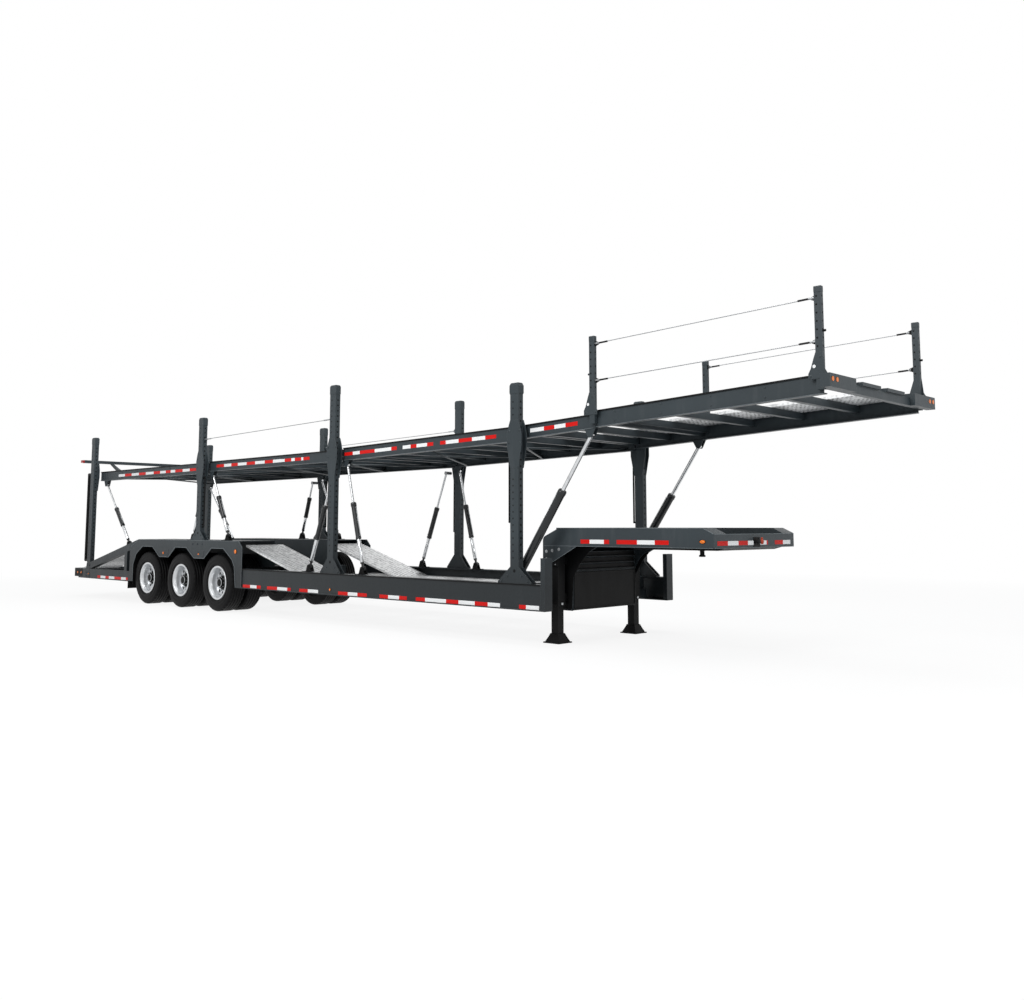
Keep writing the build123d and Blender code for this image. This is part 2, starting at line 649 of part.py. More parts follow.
def strip(row, x_low, x_high, drop_top, drop_bottom, y_low, y_high, mode=Mode.ADD):
    side_plate([(x_low, top_at(row, x_low) - drop_bottom), (x_low, top_at(row, x_low) - drop_top),
                (x_high, top_at(row, x_high) - drop_top), (x_high, top_at(row, x_high) - drop_bottom)],
               y_low, y_high, mode)


def channel(row):
    rear_x, front_x, depth = row[1], row[3], row[5]
    outer = -deck_half_width
    strip(row, rear_x, front_x, 0, depth, outer + deck_web_inset, outer + deck_web_inset + deck_web)
    strip(row, rear_x, front_x, 0, deck_flange_thickness, outer, outer + deck_flange)
    strip(row, rear_x, front_x, depth - deck_flange_thickness, depth, outer, outer + deck_flange)


def members(row):
    rear_x, front_x, count = row[1], row[3], deck_member_count[row[0]]
    step = (front_x - rear_x - deck_member_width) / (count - 1)
    inner = deck_half_width - deck_web_inset - deck_web
    for index in range(count):
        middle = rear_x + deck_member_width / 2 + index * step
        strip(row, middle - deck_member_width / 2, middle + deck_member_width / 2, plate_seat,
              plate_seat + deck_member_depth, -inner, inner)


def tracks(row, x_low, x_high):
    strip(row, x_low, x_high, plate_seat - deck_plate_thickness, plate_seat,
          -deck_track_outer_y, -deck_track_inner_y)
    for edge_y in (deck_track_outer_y, deck_track_inner_y + deck_plate_thickness):
        strip(row, x_low, x_high, plate_seat - 30, plate_seat - deck_plate_thickness,
              -edge_y, -edge_y + deck_plate_thickness)


rows_of = {row[0]: row for row in bed_rows}
lift_of = {"rear_bed": "rear_lift", "middle_bed": "middle_lift", "fore_bed": "fore_lift",
           "nose_bed": "nose_lift"}
lift_rows = {row[0]: row for row in cylinder_rows}
for name in ("rear_bed", "middle_bed", "fore_bed", "nose_bed"):
    row = rows_of[name]
    rear_x, rear_z, front_x, front_z, depth = row[1:6]
    with BuildPart() as bed_frame:
        channel(row)
        cross_bar(pivot_of[name][0], pivot_of[name][1], -post_inner_y - 30,
                  -deck_half_width + deck_web_inset + deck_web, deck_pin_radius)
        foot_x, foot_z, eye_x, eye_z = lift_rows[lift_of[name]][1:5]
        for cheek_side in (-1, 1):
            cheek_y = -cylinder_y + cheek_side * (eye_width / 2 + cheek_gap + cheek_thickness / 2)
            low = (eye_x - 75, top_at(row, eye_x - 75) - depth)
            high = (eye_x + 75, top_at(row, eye_x + 75) - depth)
            side_plate([low, (eye_x - 36, eye_z - 12), (eye_x - 20, eye_z - 34), (eye_x + 20, eye_z - 34),
                        (eye_x + 36, eye_z - 12), high], cheek_y - cheek_thickness / 2,
                       cheek_y + cheek_thickness / 2)
        if name == "nose_bed":
            channel(rows_of["nose_front"])
            block(front_x - 12, front_x + 12, -deck_half_width, -deck_half_width + deck_web_inset + deck_web,
                  front_z - depth + 4, rows_of["nose_front"][2] - 1)
            box_x = rows_of["nose_front"][3]
            block(box_x + 30, box_x + nose_box_length, -half_width + 4, -nose_box_inner_y,
                  nose_box_bottom_z, nose_box_top_z)
            block(box_x, box_x + 30, -deck_half_width + deck_web_inset, -nose_box_inner_y,
                  nose_box_bottom_z, nose_box_top_z)
        if name == "rear_bed":
            side_plate([(tail_bar_x - tail_bar_length / 2, tail_bar_z - tail_bar_depth / 2),
                        (tail_bar_x + tail_bar_length / 2, tail_bar_z - tail_bar_depth / 2),
                        (rear_x, rear_z - plate_seat), (rear_x, rear_z - plate_seat - deck_member_depth),
                        (rear_x - 60, rear_z - plate_seat - deck_member_depth)],
                       -tail_arm_y - tail_arm_width / 2, -tail_arm_y + tail_arm_width / 2)
        mirror(about=Plane.XZ)
        if name == "rear_bed":
            block(tail_bar_x - tail_bar_length / 2, tail_bar_x + tail_bar_length / 2, -tail_bar_half,
                  tail_bar_half, tail_bar_z - tail_bar_depth / 2, tail_bar_z + tail_bar_depth / 2)
    finish(bed_frame, name)
    with BuildPart() as bed_members:
        members(row)
        if name == "nose_bed":
            members(rows_of["nose_front"])
            box_x = rows_of["nose_front"][3]
            block(box_x, box_x + nose_box_length - 56, -nose_box_inner_y, nose_box_inner_y,
                  nose_box_bottom_z, nose_box_top_z - 40)
            for side in (-1, 1):
                block(box_x, box_x + nose_box_length - 26, side * 290 - 210, side * 290 + 210,
                      nose_box_top_z - 40, nose_box_top_z - 6)
    finish(bed_members, name + "_members")
    with BuildPart() as bed_tracks:
        tracks(row, rear_x + deck_member_width + 5, front_x - 10)
        if name == "nose_bed":
            tracks(rows_of["nose_front"], rows_of["nose_front"][1] + 10, rows_of["nose_front"][3] - 10)
        mirror(about=Plane.XZ)
    finish(bed_tracks, name + "_tracks")

# Lamps at the ends of the tail bar, and amber lamps on the nose bed's corner boxes
with BuildPart() as tail_bar_lamps:
    block(tail_bar_x - tail_bar_length / 2, tail_bar_x + tail_bar_length / 2, -tail_bar_half - 40,
          -tail_bar_half, tail_bar_z - 24, tail_bar_z + 24)
    mirror(about=Plane.XZ)
finish(tail_bar_lamps, "tail_bar_lamps")
with BuildPart() as nose_lamps:
    for lamp_y in (1190, 1100):
        round_bar((front_end_x - 4, -lamp_y, 2665), (front_end_x, -lamp_y, 2665), 22)
    mirror(about=Plane.XZ)
finish(nose_lamps, "nose_lamps")

# Rail posts of the nose bed: a post on a bracket with two gusset plates
rail_post_xs = (4973, 7630)
rail_post_tops = (3425, 3545)
rail_post_length = 70
rail_post_width = 44
nose_front = rows_of["nose_front"]
with BuildPart() as rail_posts:
    for rail_x, rail_top in zip(rail_post_xs, rail_post_tops):
        low_z = top_at(nose_front, rail_x) - 150
        outer = -deck_half_width - rail_post_width
        block(rail_x - rail_post_length / 2, rail_x + rail_post_length / 2, outer, -deck_half_width, low_z, rail_top)
        for plate_y in (outer, -deck_half_width - 8):
            side_plate([(rail_x - 95, low_z + 100), (rail_x - 95, low_z + 150), (rail_x - 35, low_z + 330),
                        (rail_x + 35, low_z + 330), (rail_x + 35, low_z + 100)],
                       plate_y, plate_y + 8)
    mirror(about=Plane.XZ)
finish(rail_posts, "rail_posts")

# Wire ropes: two on each side of the nose bed, and one on each side between the second and third
# posts, each with a fitting at both ends
wire_radius = 5
fitting_length = 60
fitting_radius = 11


def wire(start_x, start_z, end_x, end_z, y):
    rise = (end_z - start_z) / (end_x - start_x)
    round_bar((start_x, y, start_z), (start_x + fitting_length, y, start_z), fitting_radius)
    round_bar((end_x - fitting_length, y, end_z), (end_x, y, end_z), fitting_radius)
    round_bar((start_x + fitting_length / 2, y, start_z + rise * fitting_length / 2),
              (end_x - fitting_length / 2, y, end_z - rise * fitting_length / 2), wire_radius)


with BuildPart() as nose_wires:
    for low_z, high_z in ((3340, 3440), (2930, 3030)):
        wire(rail_post_xs[0] + rail_post_length / 2, low_z, rail_post_xs[1] - rail_post_length / 2, high_z,
             -deck_half_width - rail_post_width / 2)
    mirror(about=Plane.XZ)
finish(nose_wires, "nose_wires")
with BuildPart() as side_wires:
    wire(post_x["second_posts"] + post_length / 2, 2760, post_x["third_posts"] - post_length / 2, 2840,
         -post_inner_y - post_width / 2)
    mirror(about=Plane.XZ)
finish(side_wires, "side_wires")

# Hydraulic pipes beside the posts
pipe_radius = 12
pipe_y = half_width - 40
with BuildPart() as hydraulic_pipes:
    for pipe_x, top_pipe_z, low_pipe_z, post_face_x in (
            (-7395, 2330, 700, -7245), (-3068, 2137, 1330, -3115), (288, 2142, 1260, 335),
            (3777, 2111, 1390, 3825)):
        radius = 26 if post_face_x < -7000 else pipe_radius
        round_bar((pipe_x, -pipe_y, top_pipe_z), (pipe_x, -pipe_y, low_pipe_z), radius)
        for end_z in (top_pipe_z, low_pipe_z):
            round_bar((pipe_x, -pipe_y, end_z), (post_face_x, -pipe_y, end_z), radius - 1)
            with Locations((pipe_x, -pipe_y, end_z)):
                Sphere(radius + 1)
    mirror(about=Plane.XZ)
finish(hydraulic_pipes, "hydraulic_pipes")

# Side marker lamps
with BuildPart() as side_lamps:
    for lamp_x, lamp_z, lamp_radius, lamp_y in (
            (-4294, 887, 24, half_width), (-3128, 889, 24, half_width), (-2027 + 3, 948, 38, half_width),
            (-7150, 447, 16, half_width), (6143, 1182, 38, neck_half_width)):
        round_bar((lamp_x, -lamp_y, lamp_z), (lamp_x, -lamp_y - lamp_proud, lamp_z), lamp_radius)
    # one on the recessed web under the third posts
    round_bar((400, -half_width + beam_lip, 470), (400, -half_width + beam_lip - lamp_proud, 470), 20)
    mirror(about=Plane.XZ)
finish(side_lamps, "side_lamps")


# Cylinders: a barrel with its lower sleeve and foot eye, and a rod with its eye
def along(row, distance, y):
    foot_x, foot_z, eye_x, eye_z = row[1:5]
    length = ((eye_x - foot_x) ** 2 + (eye_z - foot_z) ** 2) ** 0.5
    return (foot_x + (eye_x - foot_x) * distance / length, y, foot_z + (eye_z - foot_z) * distance / length)


def full_length(row):
    foot_x, foot_z, eye_x, eye_z = row[1:5]
    return ((eye_x - foot_x) ** 2 + (eye_z - foot_z) ** 2) ** 0.5


for row in cylinder_rows:
    name, foot_x, foot_z, eye_x, eye_z, barrel_r, sleeve_r, rod_r, barrel_low, barrel_high, rod_low, bore_low = row
    with BuildPart() as barrel:
        cross_bar(foot_x, foot_z, -cylinder_y - eye_width / 2, -cylinder_y + eye_width / 2, eye_radius)
        round_bar((foot_x, -cylinder_y, foot_z), along(row, neck_length, -cylinder_y), neck_radius)
        if barrel_low > neck_length:
            round_bar(along(row, neck_length, -cylinder_y), along(row, barrel_low, -cylinder_y), sleeve_r)
        round_bar(along(row, barrel_low, -cylinder_y), along(row, barrel_high, -cylinder_y), barrel_r)
        round_bar(along(row, bore_low, -cylinder_y), along(row, barrel_high, -cylinder_y), rod_r + rod_gap,
                  Mode.SUBTRACT)
        cross_bar(foot_x, foot_z, -cylinder_y - eye_width / 2, -cylinder_y + eye_width / 2,
                  eye_pin_radius + pin_gap, Mode.SUBTRACT)
        mirror(about=Plane.XZ)
    finish(barrel, name + "_barrels")
    with BuildPart() as rod:
        round_bar(along(row, rod_low, -cylinder_y), (eye_x, -cylinder_y, eye_z), rod_r)
        cross_bar(eye_x, eye_z, -cylinder_y - eye_width / 2, -cylinder_y + eye_width / 2, eye_radius - 8)
        mirror(about=Plane.XZ)
    finish(rod, name + "_rods")

# Props that hold the pivots of the rear and middle beds, fixed between clevis and guide plate
with BuildPart() as prop_barrels:
    for row in prop_rows:
        name, foot_x, foot_z, eye_x, eye_z, barrel_r, sleeve_r, rod_r, barrel_low, barrel_high = row
        cross_bar(foot_x, foot_z, -cylinder_y - eye_width / 2, -cylinder_y + eye_width / 2, eye_radius)
        round_bar((foot_x, -cylinder_y, foot_z), along(row, neck_length, -cylinder_y), neck_radius)
        round_bar(along(row, neck_length, -cylinder_y), along(row, barrel_low, -cylinder_y), sleeve_r)
        round_bar(along(row, barrel_low, -cylinder_y), along(row, barrel_high, -cylinder_y), barrel_r)
        cross_bar(foot_x, foot_z, -cylinder_y - eye_width / 2, -cylinder_y + eye_width / 2,
                  eye_pin_radius + pin_gap, Mode.SUBTRACT)
    mirror(about=Plane.XZ)
finish(prop_barrels, "prop_barrels")
with BuildPart() as prop_rods:
    for row in prop_rows:
        name, foot_x, foot_z, eye_x, eye_z, barrel_r, sleeve_r, rod_r, barrel_low, barrel_high = row
        round_bar(along(row, barrel_high, -cylinder_y), (eye_x, -cylinder_y, eye_z), rod_r)
        cross_bar(eye_x, eye_z, -post_inner_y, -cylinder_y + eye_width / 2, eye_radius - 8)
    mirror(about=Plane.XZ)
finish(prop_rods, "prop_rods")

# Clevises for the feet of the cylinders, with their pins
seat_rows = (
    ("rear_lift", "slope"), ("middle_lift", "arch"), ("fore_lift", "beam"), ("nose_lift", "beam"),
    ("second_prop", "arch"), ("third_prop", "beam"),
)
foot_rows = {row[0]: row for row in cylinder_rows + prop_rows}
cheek_outer = eye_width / 2 + cheek_gap + cheek_thickness
with BuildPart() as clevises:
    for name, seat in seat_rows:
        foot_x, foot_z = foot_rows[name][1:3]
        tilt = 0
        seat_z = arch_top_z if seat == "arch" else beam_top_z
        if seat == "slope":
            tilt = slope_line(1) - slope_line(0)
            seat_z = slope_line(foot_x)
        for cheek_side in (-1, 1):
            cheek_y = -cylinder_y + cheek_side * (eye_width / 2 + cheek_gap + cheek_thickness / 2)
            side_plate([(foot_x - 60, seat_z - 60 * tilt), (foot_x - 24, foot_z + 24), (foot_x + 24, foot_z + 24),
                        (foot_x + 60, seat_z + 60 * tilt)],
                       cheek_y - cheek_thickness / 2, cheek_y + cheek_thickness / 2)
        side_plate([(foot_x - 70, seat_z - 70 * tilt), (foot_x - 70, seat_z - 70 * tilt + 8),
                    (foot_x + 70, seat_z + 70 * tilt + 8), (foot_x + 70, seat_z + 70 * tilt)],
                   -post_inner_y + 1, -cylinder_y + cheek_outer)
        cross_bar(foot_x, foot_z, -cylinder_y - cheek_outer - 6, -cylinder_y + cheek_outer + 6, eye_pin_radius)
    mirror(about=Plane.XZ)
finish(clevises, "clevises")
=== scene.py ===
import bmesh
import bpy
import json
import math
from mathutils import Matrix, Vector


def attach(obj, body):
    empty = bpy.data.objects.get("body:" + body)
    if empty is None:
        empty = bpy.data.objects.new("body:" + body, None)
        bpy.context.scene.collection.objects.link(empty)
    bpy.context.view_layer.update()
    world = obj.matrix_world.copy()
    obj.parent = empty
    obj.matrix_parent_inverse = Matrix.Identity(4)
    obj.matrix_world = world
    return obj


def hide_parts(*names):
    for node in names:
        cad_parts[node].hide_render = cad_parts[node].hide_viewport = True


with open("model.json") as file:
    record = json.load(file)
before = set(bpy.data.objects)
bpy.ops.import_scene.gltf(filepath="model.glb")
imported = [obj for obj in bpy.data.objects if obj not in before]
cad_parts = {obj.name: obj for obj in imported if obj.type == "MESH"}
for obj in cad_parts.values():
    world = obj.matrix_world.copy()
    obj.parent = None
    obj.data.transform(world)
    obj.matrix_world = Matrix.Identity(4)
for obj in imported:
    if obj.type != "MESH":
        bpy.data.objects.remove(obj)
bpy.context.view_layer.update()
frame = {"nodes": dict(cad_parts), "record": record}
print("frame loaded:", len(frame["nodes"]), "nodes")


def addObject(name, data):
    made = bpy.data.objects.new(name, data)
    bpy.context.scene.collection.objects.link(made)
    return made


# camera
camera = {
    "place": (11.758, -9.649, 1.343),
    "turnDegrees": (95.95, 0.0, 43.26),
    "lens": 35.06,
    "sensor": 36.0,
    "shiftY": -0.0761,
    "clip": (0.1, 300),
}
cameraData = bpy.data.cameras.new("photoCamera")
cameraObject = addObject("photoCamera", cameraData)
cameraObject.location = camera["place"]
cameraObject.rotation_euler = [math.radians(angle) for angle in camera["turnDegrees"]]
cameraData.lens = camera["lens"]
cameraData.sensor_width = camera["sensor"]
cameraData.shift_y = camera["shiftY"]
cameraData.clip_start, cameraData.clip_end = camera["clip"]
bpy.context.scene.camera = cameraObject
print("camera placed")


# colours are written as sRGB hex and turned to linear here
def linear(code):
    channels = [int(code[i:i + 2], 16) / 255 for i in (1, 3, 5)]
    return [c / 12.92 if c <= 0.04045 else ((c + 0.055) / 1.055) ** 2.4 for c in channels] + [1.0]


def put(tree, kind, settings=None, values=None, links=None):
    node = tree.nodes.new("ShaderNode" + kind)
    for key, value in (settings or {}).items():
        setattr(node, key, value)
    for key, value in (values or {}).items():
        node.inputs[key].default_value = value
    for key, source in (links or {}).items():
        tree.links.new(source, node.inputs[key])
    return node


def startMaterial(name):
    material = bpy.data.materials.new(name)
    material.use_nodes = True
    tree = material.node_tree
    place = put(tree, "TexCoord")
    return material, tree, tree.nodes["Principled BSDF"], place.outputs["Object"]


def noise(tree, place, scale, detail=3.0, roughness=0.55, stretch=(1, 1, 1)):
    spread = put(tree, "Mapping", values={"Scale": stretch}, links={"Vector": place})
    values = {"Scale": scale, "Detail": detail, "Roughness": roughness}
    return put(tree, "TexNoise", values=values, links={"Vector": spread.outputs[0]}).outputs["Fac"]


def span(tree, source, low, high, lowOut=0.0, highOut=1.0):
    values = {"From Min": low, "From Max": high, "To Min": lowOut, "To Max": highOut}
    return put(tree, "MapRange", values=values, links={"Value": source}).outputs[0]


def sums(tree, how, first, second):
    links, values = {}, {}
    for key, part in enumerate((first, second)):
        (values if isinstance(part, (int, float)) else links)[key] = part
    return put(tree, "Math", {"operation": how}, values, links).outputs[0]


def vectors(tree, how, first, second=None):
    values = {} if second is None else {1: second}
    return put(tree, "VectorMath", {"operation": how}, values, {0: first})


def blendColours(tree, share, first, second):
    values, links = {}, {"Factor": share}
    for key, colour in ((6, first), (7, second)):
        if isinstance(colour, list):
            values[key] = colour
        else:
            links[key] = colour
    return put(tree, "Mix", {"data_type": "RGBA"}, values, links).outputs[2]


def darker(code, share):
    return [channel * share for channel in linear(code)[:3]] + [1.0]


def raised(tree, height, strength, distance, normal=None):
    links = {"Height": height} if normal is None else {"Height": height, "Normal": normal}
    values = {"Strength": strength, "Distance": distance}
    return put(tree, "Bump", values=values, links=links).outputs[0]


# a number is set on the shader's own socket, and anything else is linked to it
def dress(tree, shader, sockets):
    for key, source in sockets.items():
        if isinstance(source, (int, float)):
            shader.inputs[key].default_value = source
        else:
            tree.links.new(source, shader.inputs[key])


# share of the surface near a corner, for wear and painted highlight along the real edges
def nearEdge(tree, radius):
    rounded = put(tree, "Bevel", {"samples": 4}, {"Radius": radius})
    flat = put(tree, "NewGeometry")
    dot = put(tree, "VectorMath", {"operation": "DOT_PRODUCT"},
              links={0: rounded.outputs[0], 1: flat.outputs["Normal"]})
    return span(tree, dot.outputs["Value"], 0.99, 0.80), rounded.outputs[0]


# polyurethane paint sprayed on rolled steel: even colour, soft gloss with a light orange peel,
# dark road film and painted shade on the low parts, faint rain streaks, and edges lighter grey by wear and a
# painted highlight
def paintedSteel(name, base, dust, film, worn, gloss, shine):
    material, tree, shader, place = startMaterial(name)
    tone = noise(tree, place, 0.9, 4)
    streaks = noise(tree, place, 3.0, 3, 0.6, (3.0, 3.0, 0.35))
    grain = noise(tree, place, 38, 4, 0.6)
    apart = put(tree, "SeparateXYZ", links={0: place})
    low = span(tree, apart.outputs["Z"], 1.25, 0.62, 0, 0.80)
    lowFilmAndShade = sums(tree, "MULTIPLY", low, span(tree, grain, 0.3, 0.6, 0.85, 1.0))
    edges, rounded = nearEdge(tree, 0.004)
    rubbedAndHighlit = sums(tree, "MULTIPLY", edges, span(tree, grain, 0.38, 0.62))
    shade = blendColours(tree, span(tree, tone, 0.3, 0.7), linear(base), darker(base, 0.78))
    shade = blendColours(tree, span(tree, streaks, 0.55, 0.85, 0, 0.35), shade, linear(dust))
    # the low parts blend to the film colour, darker towards the bottom: road film and painted shade
    shade = blendColours(tree, lowFilmAndShade, shade, linear(film))
    # the edges take the worn colour: partly wear, partly a painted highlight
    shade = blendColours(tree, sums(tree, "MULTIPLY", rubbedAndHighlit, 0.55), shade, linear(worn))
    rough = span(tree, sums(tree, "ADD", grain, streaks), 0.6, 1.4, gloss - 0.07, gloss + 0.12)
    # orange peel is 2 to 4 mm across, drawn at about 12 mm so that it shows
    peel = noise(tree, place, 85, 2)
    dress(tree, shader, {"Base Color": shade, "Roughness": rough, "Specular IOR Level": shine,
                         "Normal": raised(tree, peel, 0.10, 0.002, rounded)})
    return material


# hot-dip galvanised steel plate, punched with raised oval holes: bright spangled grey, with the openings
# painted near black as painted shade
def galvanised(name, base, dark):
    material, tree, shader, place = startMaterial(name)
    # spangles are up to 25 mm across
    spangle = put(tree, "TexVoronoi", {"feature": "F1"}, {"Scale": 40, "Randomness": 1.0}, {"Vector": place})
    soil = noise(tree, place, 5, 5, 0.65)
    grain = noise(tree, place, 60, 3)
    cells = span(tree, spangle.outputs["Distance"], 0.0, 0.9)
    shade = blendColours(tree, cells, linear(base), darker(base, 0.82))
    shade = blendColours(tree, span(tree, soil, 0.55, 0.85, 0, 0.5), shade, linear(dark))
    worn = noise(tree, place, 17, 3, 0.6)
    shade = blendColours(tree, span(tree, worn, 0.50, 0.62, 0, 0.45), shade, linear(dark))
    # holes of about 21 by 38 mm on two grids, which lie between each other
    flat = vectors(tree, "MULTIPLY", place, (1 / 0.052, 1 / 0.094, 0)).outputs[0]
    reach = None
    for shift in (0.0, 0.5):
        moved = vectors(tree, "ADD", flat, (shift, shift, 0))
        cell = vectors(tree, "FRACTION", moved.outputs[0])
        centred = vectors(tree, "SUBTRACT", cell.outputs[0], (0.5, 0.5, 0))
        far = vectors(tree, "LENGTH", centred.outputs[0]).outputs["Value"]
        reach = far if reach is None else sums(tree, "MINIMUM", reach, far)
    # some holes are filled with dirt or catch the light, so the rows look broken
    broken = span(tree, noise(tree, place, 11, 3, 0.6), 0.44, 0.56, 0.15, 1.0)
    hole = sums(tree, "MULTIPLY", span(tree, reach, 0.215, 0.19), broken)
    # only the level faces are punched, the folded edges are plain
    surface = put(tree, "NewGeometry")
    facing = put(tree, "SeparateXYZ", links={0: surface.outputs["Normal"]})
    level = span(tree, sums(tree, "ABSOLUTE", facing.outputs["Z"], 0.0), 0.6, 0.8)
    hole = sums(tree, "MULTIPLY", hole, level)
    collar = sums(tree, "MULTIPLY", span(tree, reach, 0.32, 0.225), sums(tree, "SUBTRACT", level, hole))
    # the holes are painted near black: painted shade in the openings
    shade = blendColours(tree, hole, shade, linear("#0c0d0e"))
    height = sums(tree, "ADD", sums(tree, "MULTIPLY", grain, 0.15), collar)
    metallic = sums(tree, "SUBTRACT", 0.6, sums(tree, "MULTIPLY", hole, 0.6))
    dress(tree, shader, {"Base Color": shade, "Roughness": span(tree, grain, 0.3, 0.7, 0.32, 0.52),
                         "Metallic": metallic, "Normal": raised(tree, height, 0.5, 0.003)})
    return material


# carbon-black filled rubber, moulded: near black, with a soft sheen and a brown-grey bloom in places
def mouldedRubber(name, base, bloom, gloss):
    material, tree, shader, place = startMaterial(name)
    cloudy = noise(tree, place, 7, 5, 0.6)
    # the moulded grain is under 1 mm, drawn at 6 mm so that it shows
    grain = noise(tree, place, 160, 2)
    shade = blendColours(tree, span(tree, cloudy, 0.45, 0.8, 0, 0.35), linear(base), linear(bloom))
    dress(tree, shader, {"Base Color": shade, "Roughness": span(tree, cloudy, 0.3, 0.7, gloss, gloss + 0.12),
                         "Specular IOR Level": 0.11, "Normal": raised(tree, grain, 0.25, 0.001)})
    return material


# silver painted steel of the wheel discs: a faint play of metal flake, with brake dust in places
def silverWheel(name, base, dust):
    material, tree, shader, place = startMaterial(name)
    # flake is far under 1 mm, drawn at 7 mm so that it shows
    flake = noise(tree, place, 140, 2)
    soil = noise(tree, place, 9, 4, 0.6)
    edges, rounded = nearEdge(tree, 0.004)
    shade = blendColours(tree, span(tree, flake, 0.35, 0.65), linear(base), darker(base, 0.95))
    shade = blendColours(tree, span(tree, soil, 0.55, 0.85, 0, 0.12), shade, linear(dust))
    # edges lightened to near white: a painted highlight
    shade = blendColours(tree, sums(tree, "MULTIPLY", edges, 0.5), shade, linear("#f6f7f8"))
    dress(tree, shader, {"Base Color": shade, "Roughness": span(tree, soil, 0.3, 0.7, 0.30, 0.36),
                         "Metallic": 0.7, "Normal": rounded})
    return material


# hard chrome on ground steel: mirror grey with a faint oil film in upright streaks
def hardChrome(name, base):
    material, tree, shader, place = startMaterial(name)
    film = noise(tree, place, 30, 3, 0.6, (1, 1, 0.2))
    shade = blendColours(tree, span(tree, film, 0.4, 0.75, 0, 0.5), linear(base), linear("#8d9093"))
    dress(tree, shader, {"Base Color": shade, "Roughness": span(tree, film, 0.3, 0.7, 0.14, 0.3),
                         "Metallic": 1.0})
    return material


# laid steel wire: grey strands that wind round the rope
def wireRope(name, base):
    material, tree, shader, place = startMaterial(name)
    # strands are 2 mm wide, drawn at 22 mm so that they show
    strands = put(tree, "TexWave", {"bands_direction": "DIAGONAL"}, {"Scale": 28, "Distortion": 0.4},
                  {"Vector": place})
    # darker between the strands: painted shade in the grooves
    shade = blendColours(tree, strands.outputs["Fac"], linear(base), darker(base, 0.45))
    dress(tree, shader, {"Base Color": shade, "Roughness": 0.42, "Metallic": 0.8,
                         "Normal": raised(tree, strands.outputs["Fac"], 0.6, 0.001)})
    return material


# moulded acrylic lens: clear gloss over fine ribs
def lampLens(name, base, deep):
    material, tree, shader, place = startMaterial(name)
    # ribs are 5 mm apart, drawn at 10 mm so that they show
    ribs = put(tree, "TexWave", {"bands_direction": "Z"}, {"Scale": 32, "Distortion": 0.0},
               {"Vector": place})
    shade = blendColours(tree, ribs.outputs["Fac"], linear(base), linear(deep))
    dress(tree, shader, {"Base Color": shade, "Roughness": 0.14, "Specular IOR Level": 0.4,
                         "Normal": raised(tree, ribs.outputs["Fac"], 0.35, 0.001)})
    return material


# retroreflective prism tape: bright even colour with a fine cell pattern under a clear film
def prismTape(name, base, deep):
    material, tree, shader, place = startMaterial(name)
    # prism cells are 4 mm wide, drawn at 9 mm so that they show
    cells = put(tree, "TexVoronoi", {"feature": "DISTANCE_TO_EDGE"},
                {"Scale": 110, "Randomness": 0.15}, {"Vector": place})
    soil = noise(tree, place, 6, 4)
    line = span(tree, cells.outputs["Distance"], 0.0, 0.12, 1.0, 0.0)
    shade = blendColours(tree, sums(tree, "MULTIPLY", line, 0.45), linear(base), linear(deep))
    shade = blendColours(tree, span(tree, soil, 0.5, 0.85, 0, 0.25), shade, linear(deep))
    dress(tree, shader, {"Base Color": shade, "Roughness": 0.35, "Specular IOR Level": 0.15})
    return material


# zinc plated steel of nuts, fittings and thin pipes: pale grey with a dull, slightly stained film
def zincPlated(name, base):
    material, tree, shader, place = startMaterial(name)
    film = noise(tree, place, 45, 3)
    shade = blendColours(tree, span(tree, film, 0.4, 0.7), linear(base), darker(base, 0.6))
    dress(tree, shader, {"Base Color": shade, "Roughness": span(tree, film, 0.3, 0.7, 0.3, 0.5),
                         "Metallic": 0.9})
    return material


darkPaint = paintedSteel("polyurethanePaintDark", "#353d41", "#505356", "#191c1e", "#7b8387", 0.40, 0.26)
# a lighter copy of the dark paint, drawn along edges and seams as a painted highlight
palePaint = paintedSteel("polyurethanePaintPaleHighlight", "#666e72", "#7a7c7a", "#55595b", "#9aa1a4", 0.42, 0.26)
blackPaint = paintedSteel("chassisEnamelBlack", "#0f1011", "#242321", "#0b0b0b", "#46494b", 0.50, 0.12)
barrelPaint = paintedSteel("cylinderEnamelBlack", "#1b1e20", "#303336", "#141516", "#5a5e61", 0.26, 0.42)
punchedPlate = galvanised("galvanisedPunchedPlate", "#f1f2f2", "#8f9193")
tyreRubber = mouldedRubber("mouldedTyreRubber", "#0d0d0e", "#191818", 0.5)
redEnamel = paintedSteel("couplingEnamelRed", "#b53a1c", "#5c4a40", "#7a2a18", "#b9896f", 0.35, 0.26)
flapRubber = mouldedRubber("mudFlapRubber", "#101010", "#24211e", 0.6)
wheelSilver = silverWheel("silverPaintedWheel", "#d6d8da", "#77736d")
rodChrome = hardChrome("hardChromeRod", "#d9dbdd")
ropeSteel = wireRope("laidWireRope", "#a9abad")
redLens = lampLens("acrylicLensRed", "#c8140e", "#740906")
amberLens = lampLens("acrylicLensAmber", "#ff8a0c", "#d55c04")
clearLens = lampLens("acrylicLensClear", "#dfe2e3", "#a3a8aa")
redTape = prismTape("prismTapeRed", "#dc1812", "#8f0d0a")
whiteTape = prismTape("prismTapeWhite", "#f7f7f6", "#cfd1d2")
zincSteel = zincPlated("zincPlatedSteel", "#b9bcbe")
print("materials made:", len(bpy.data.materials))

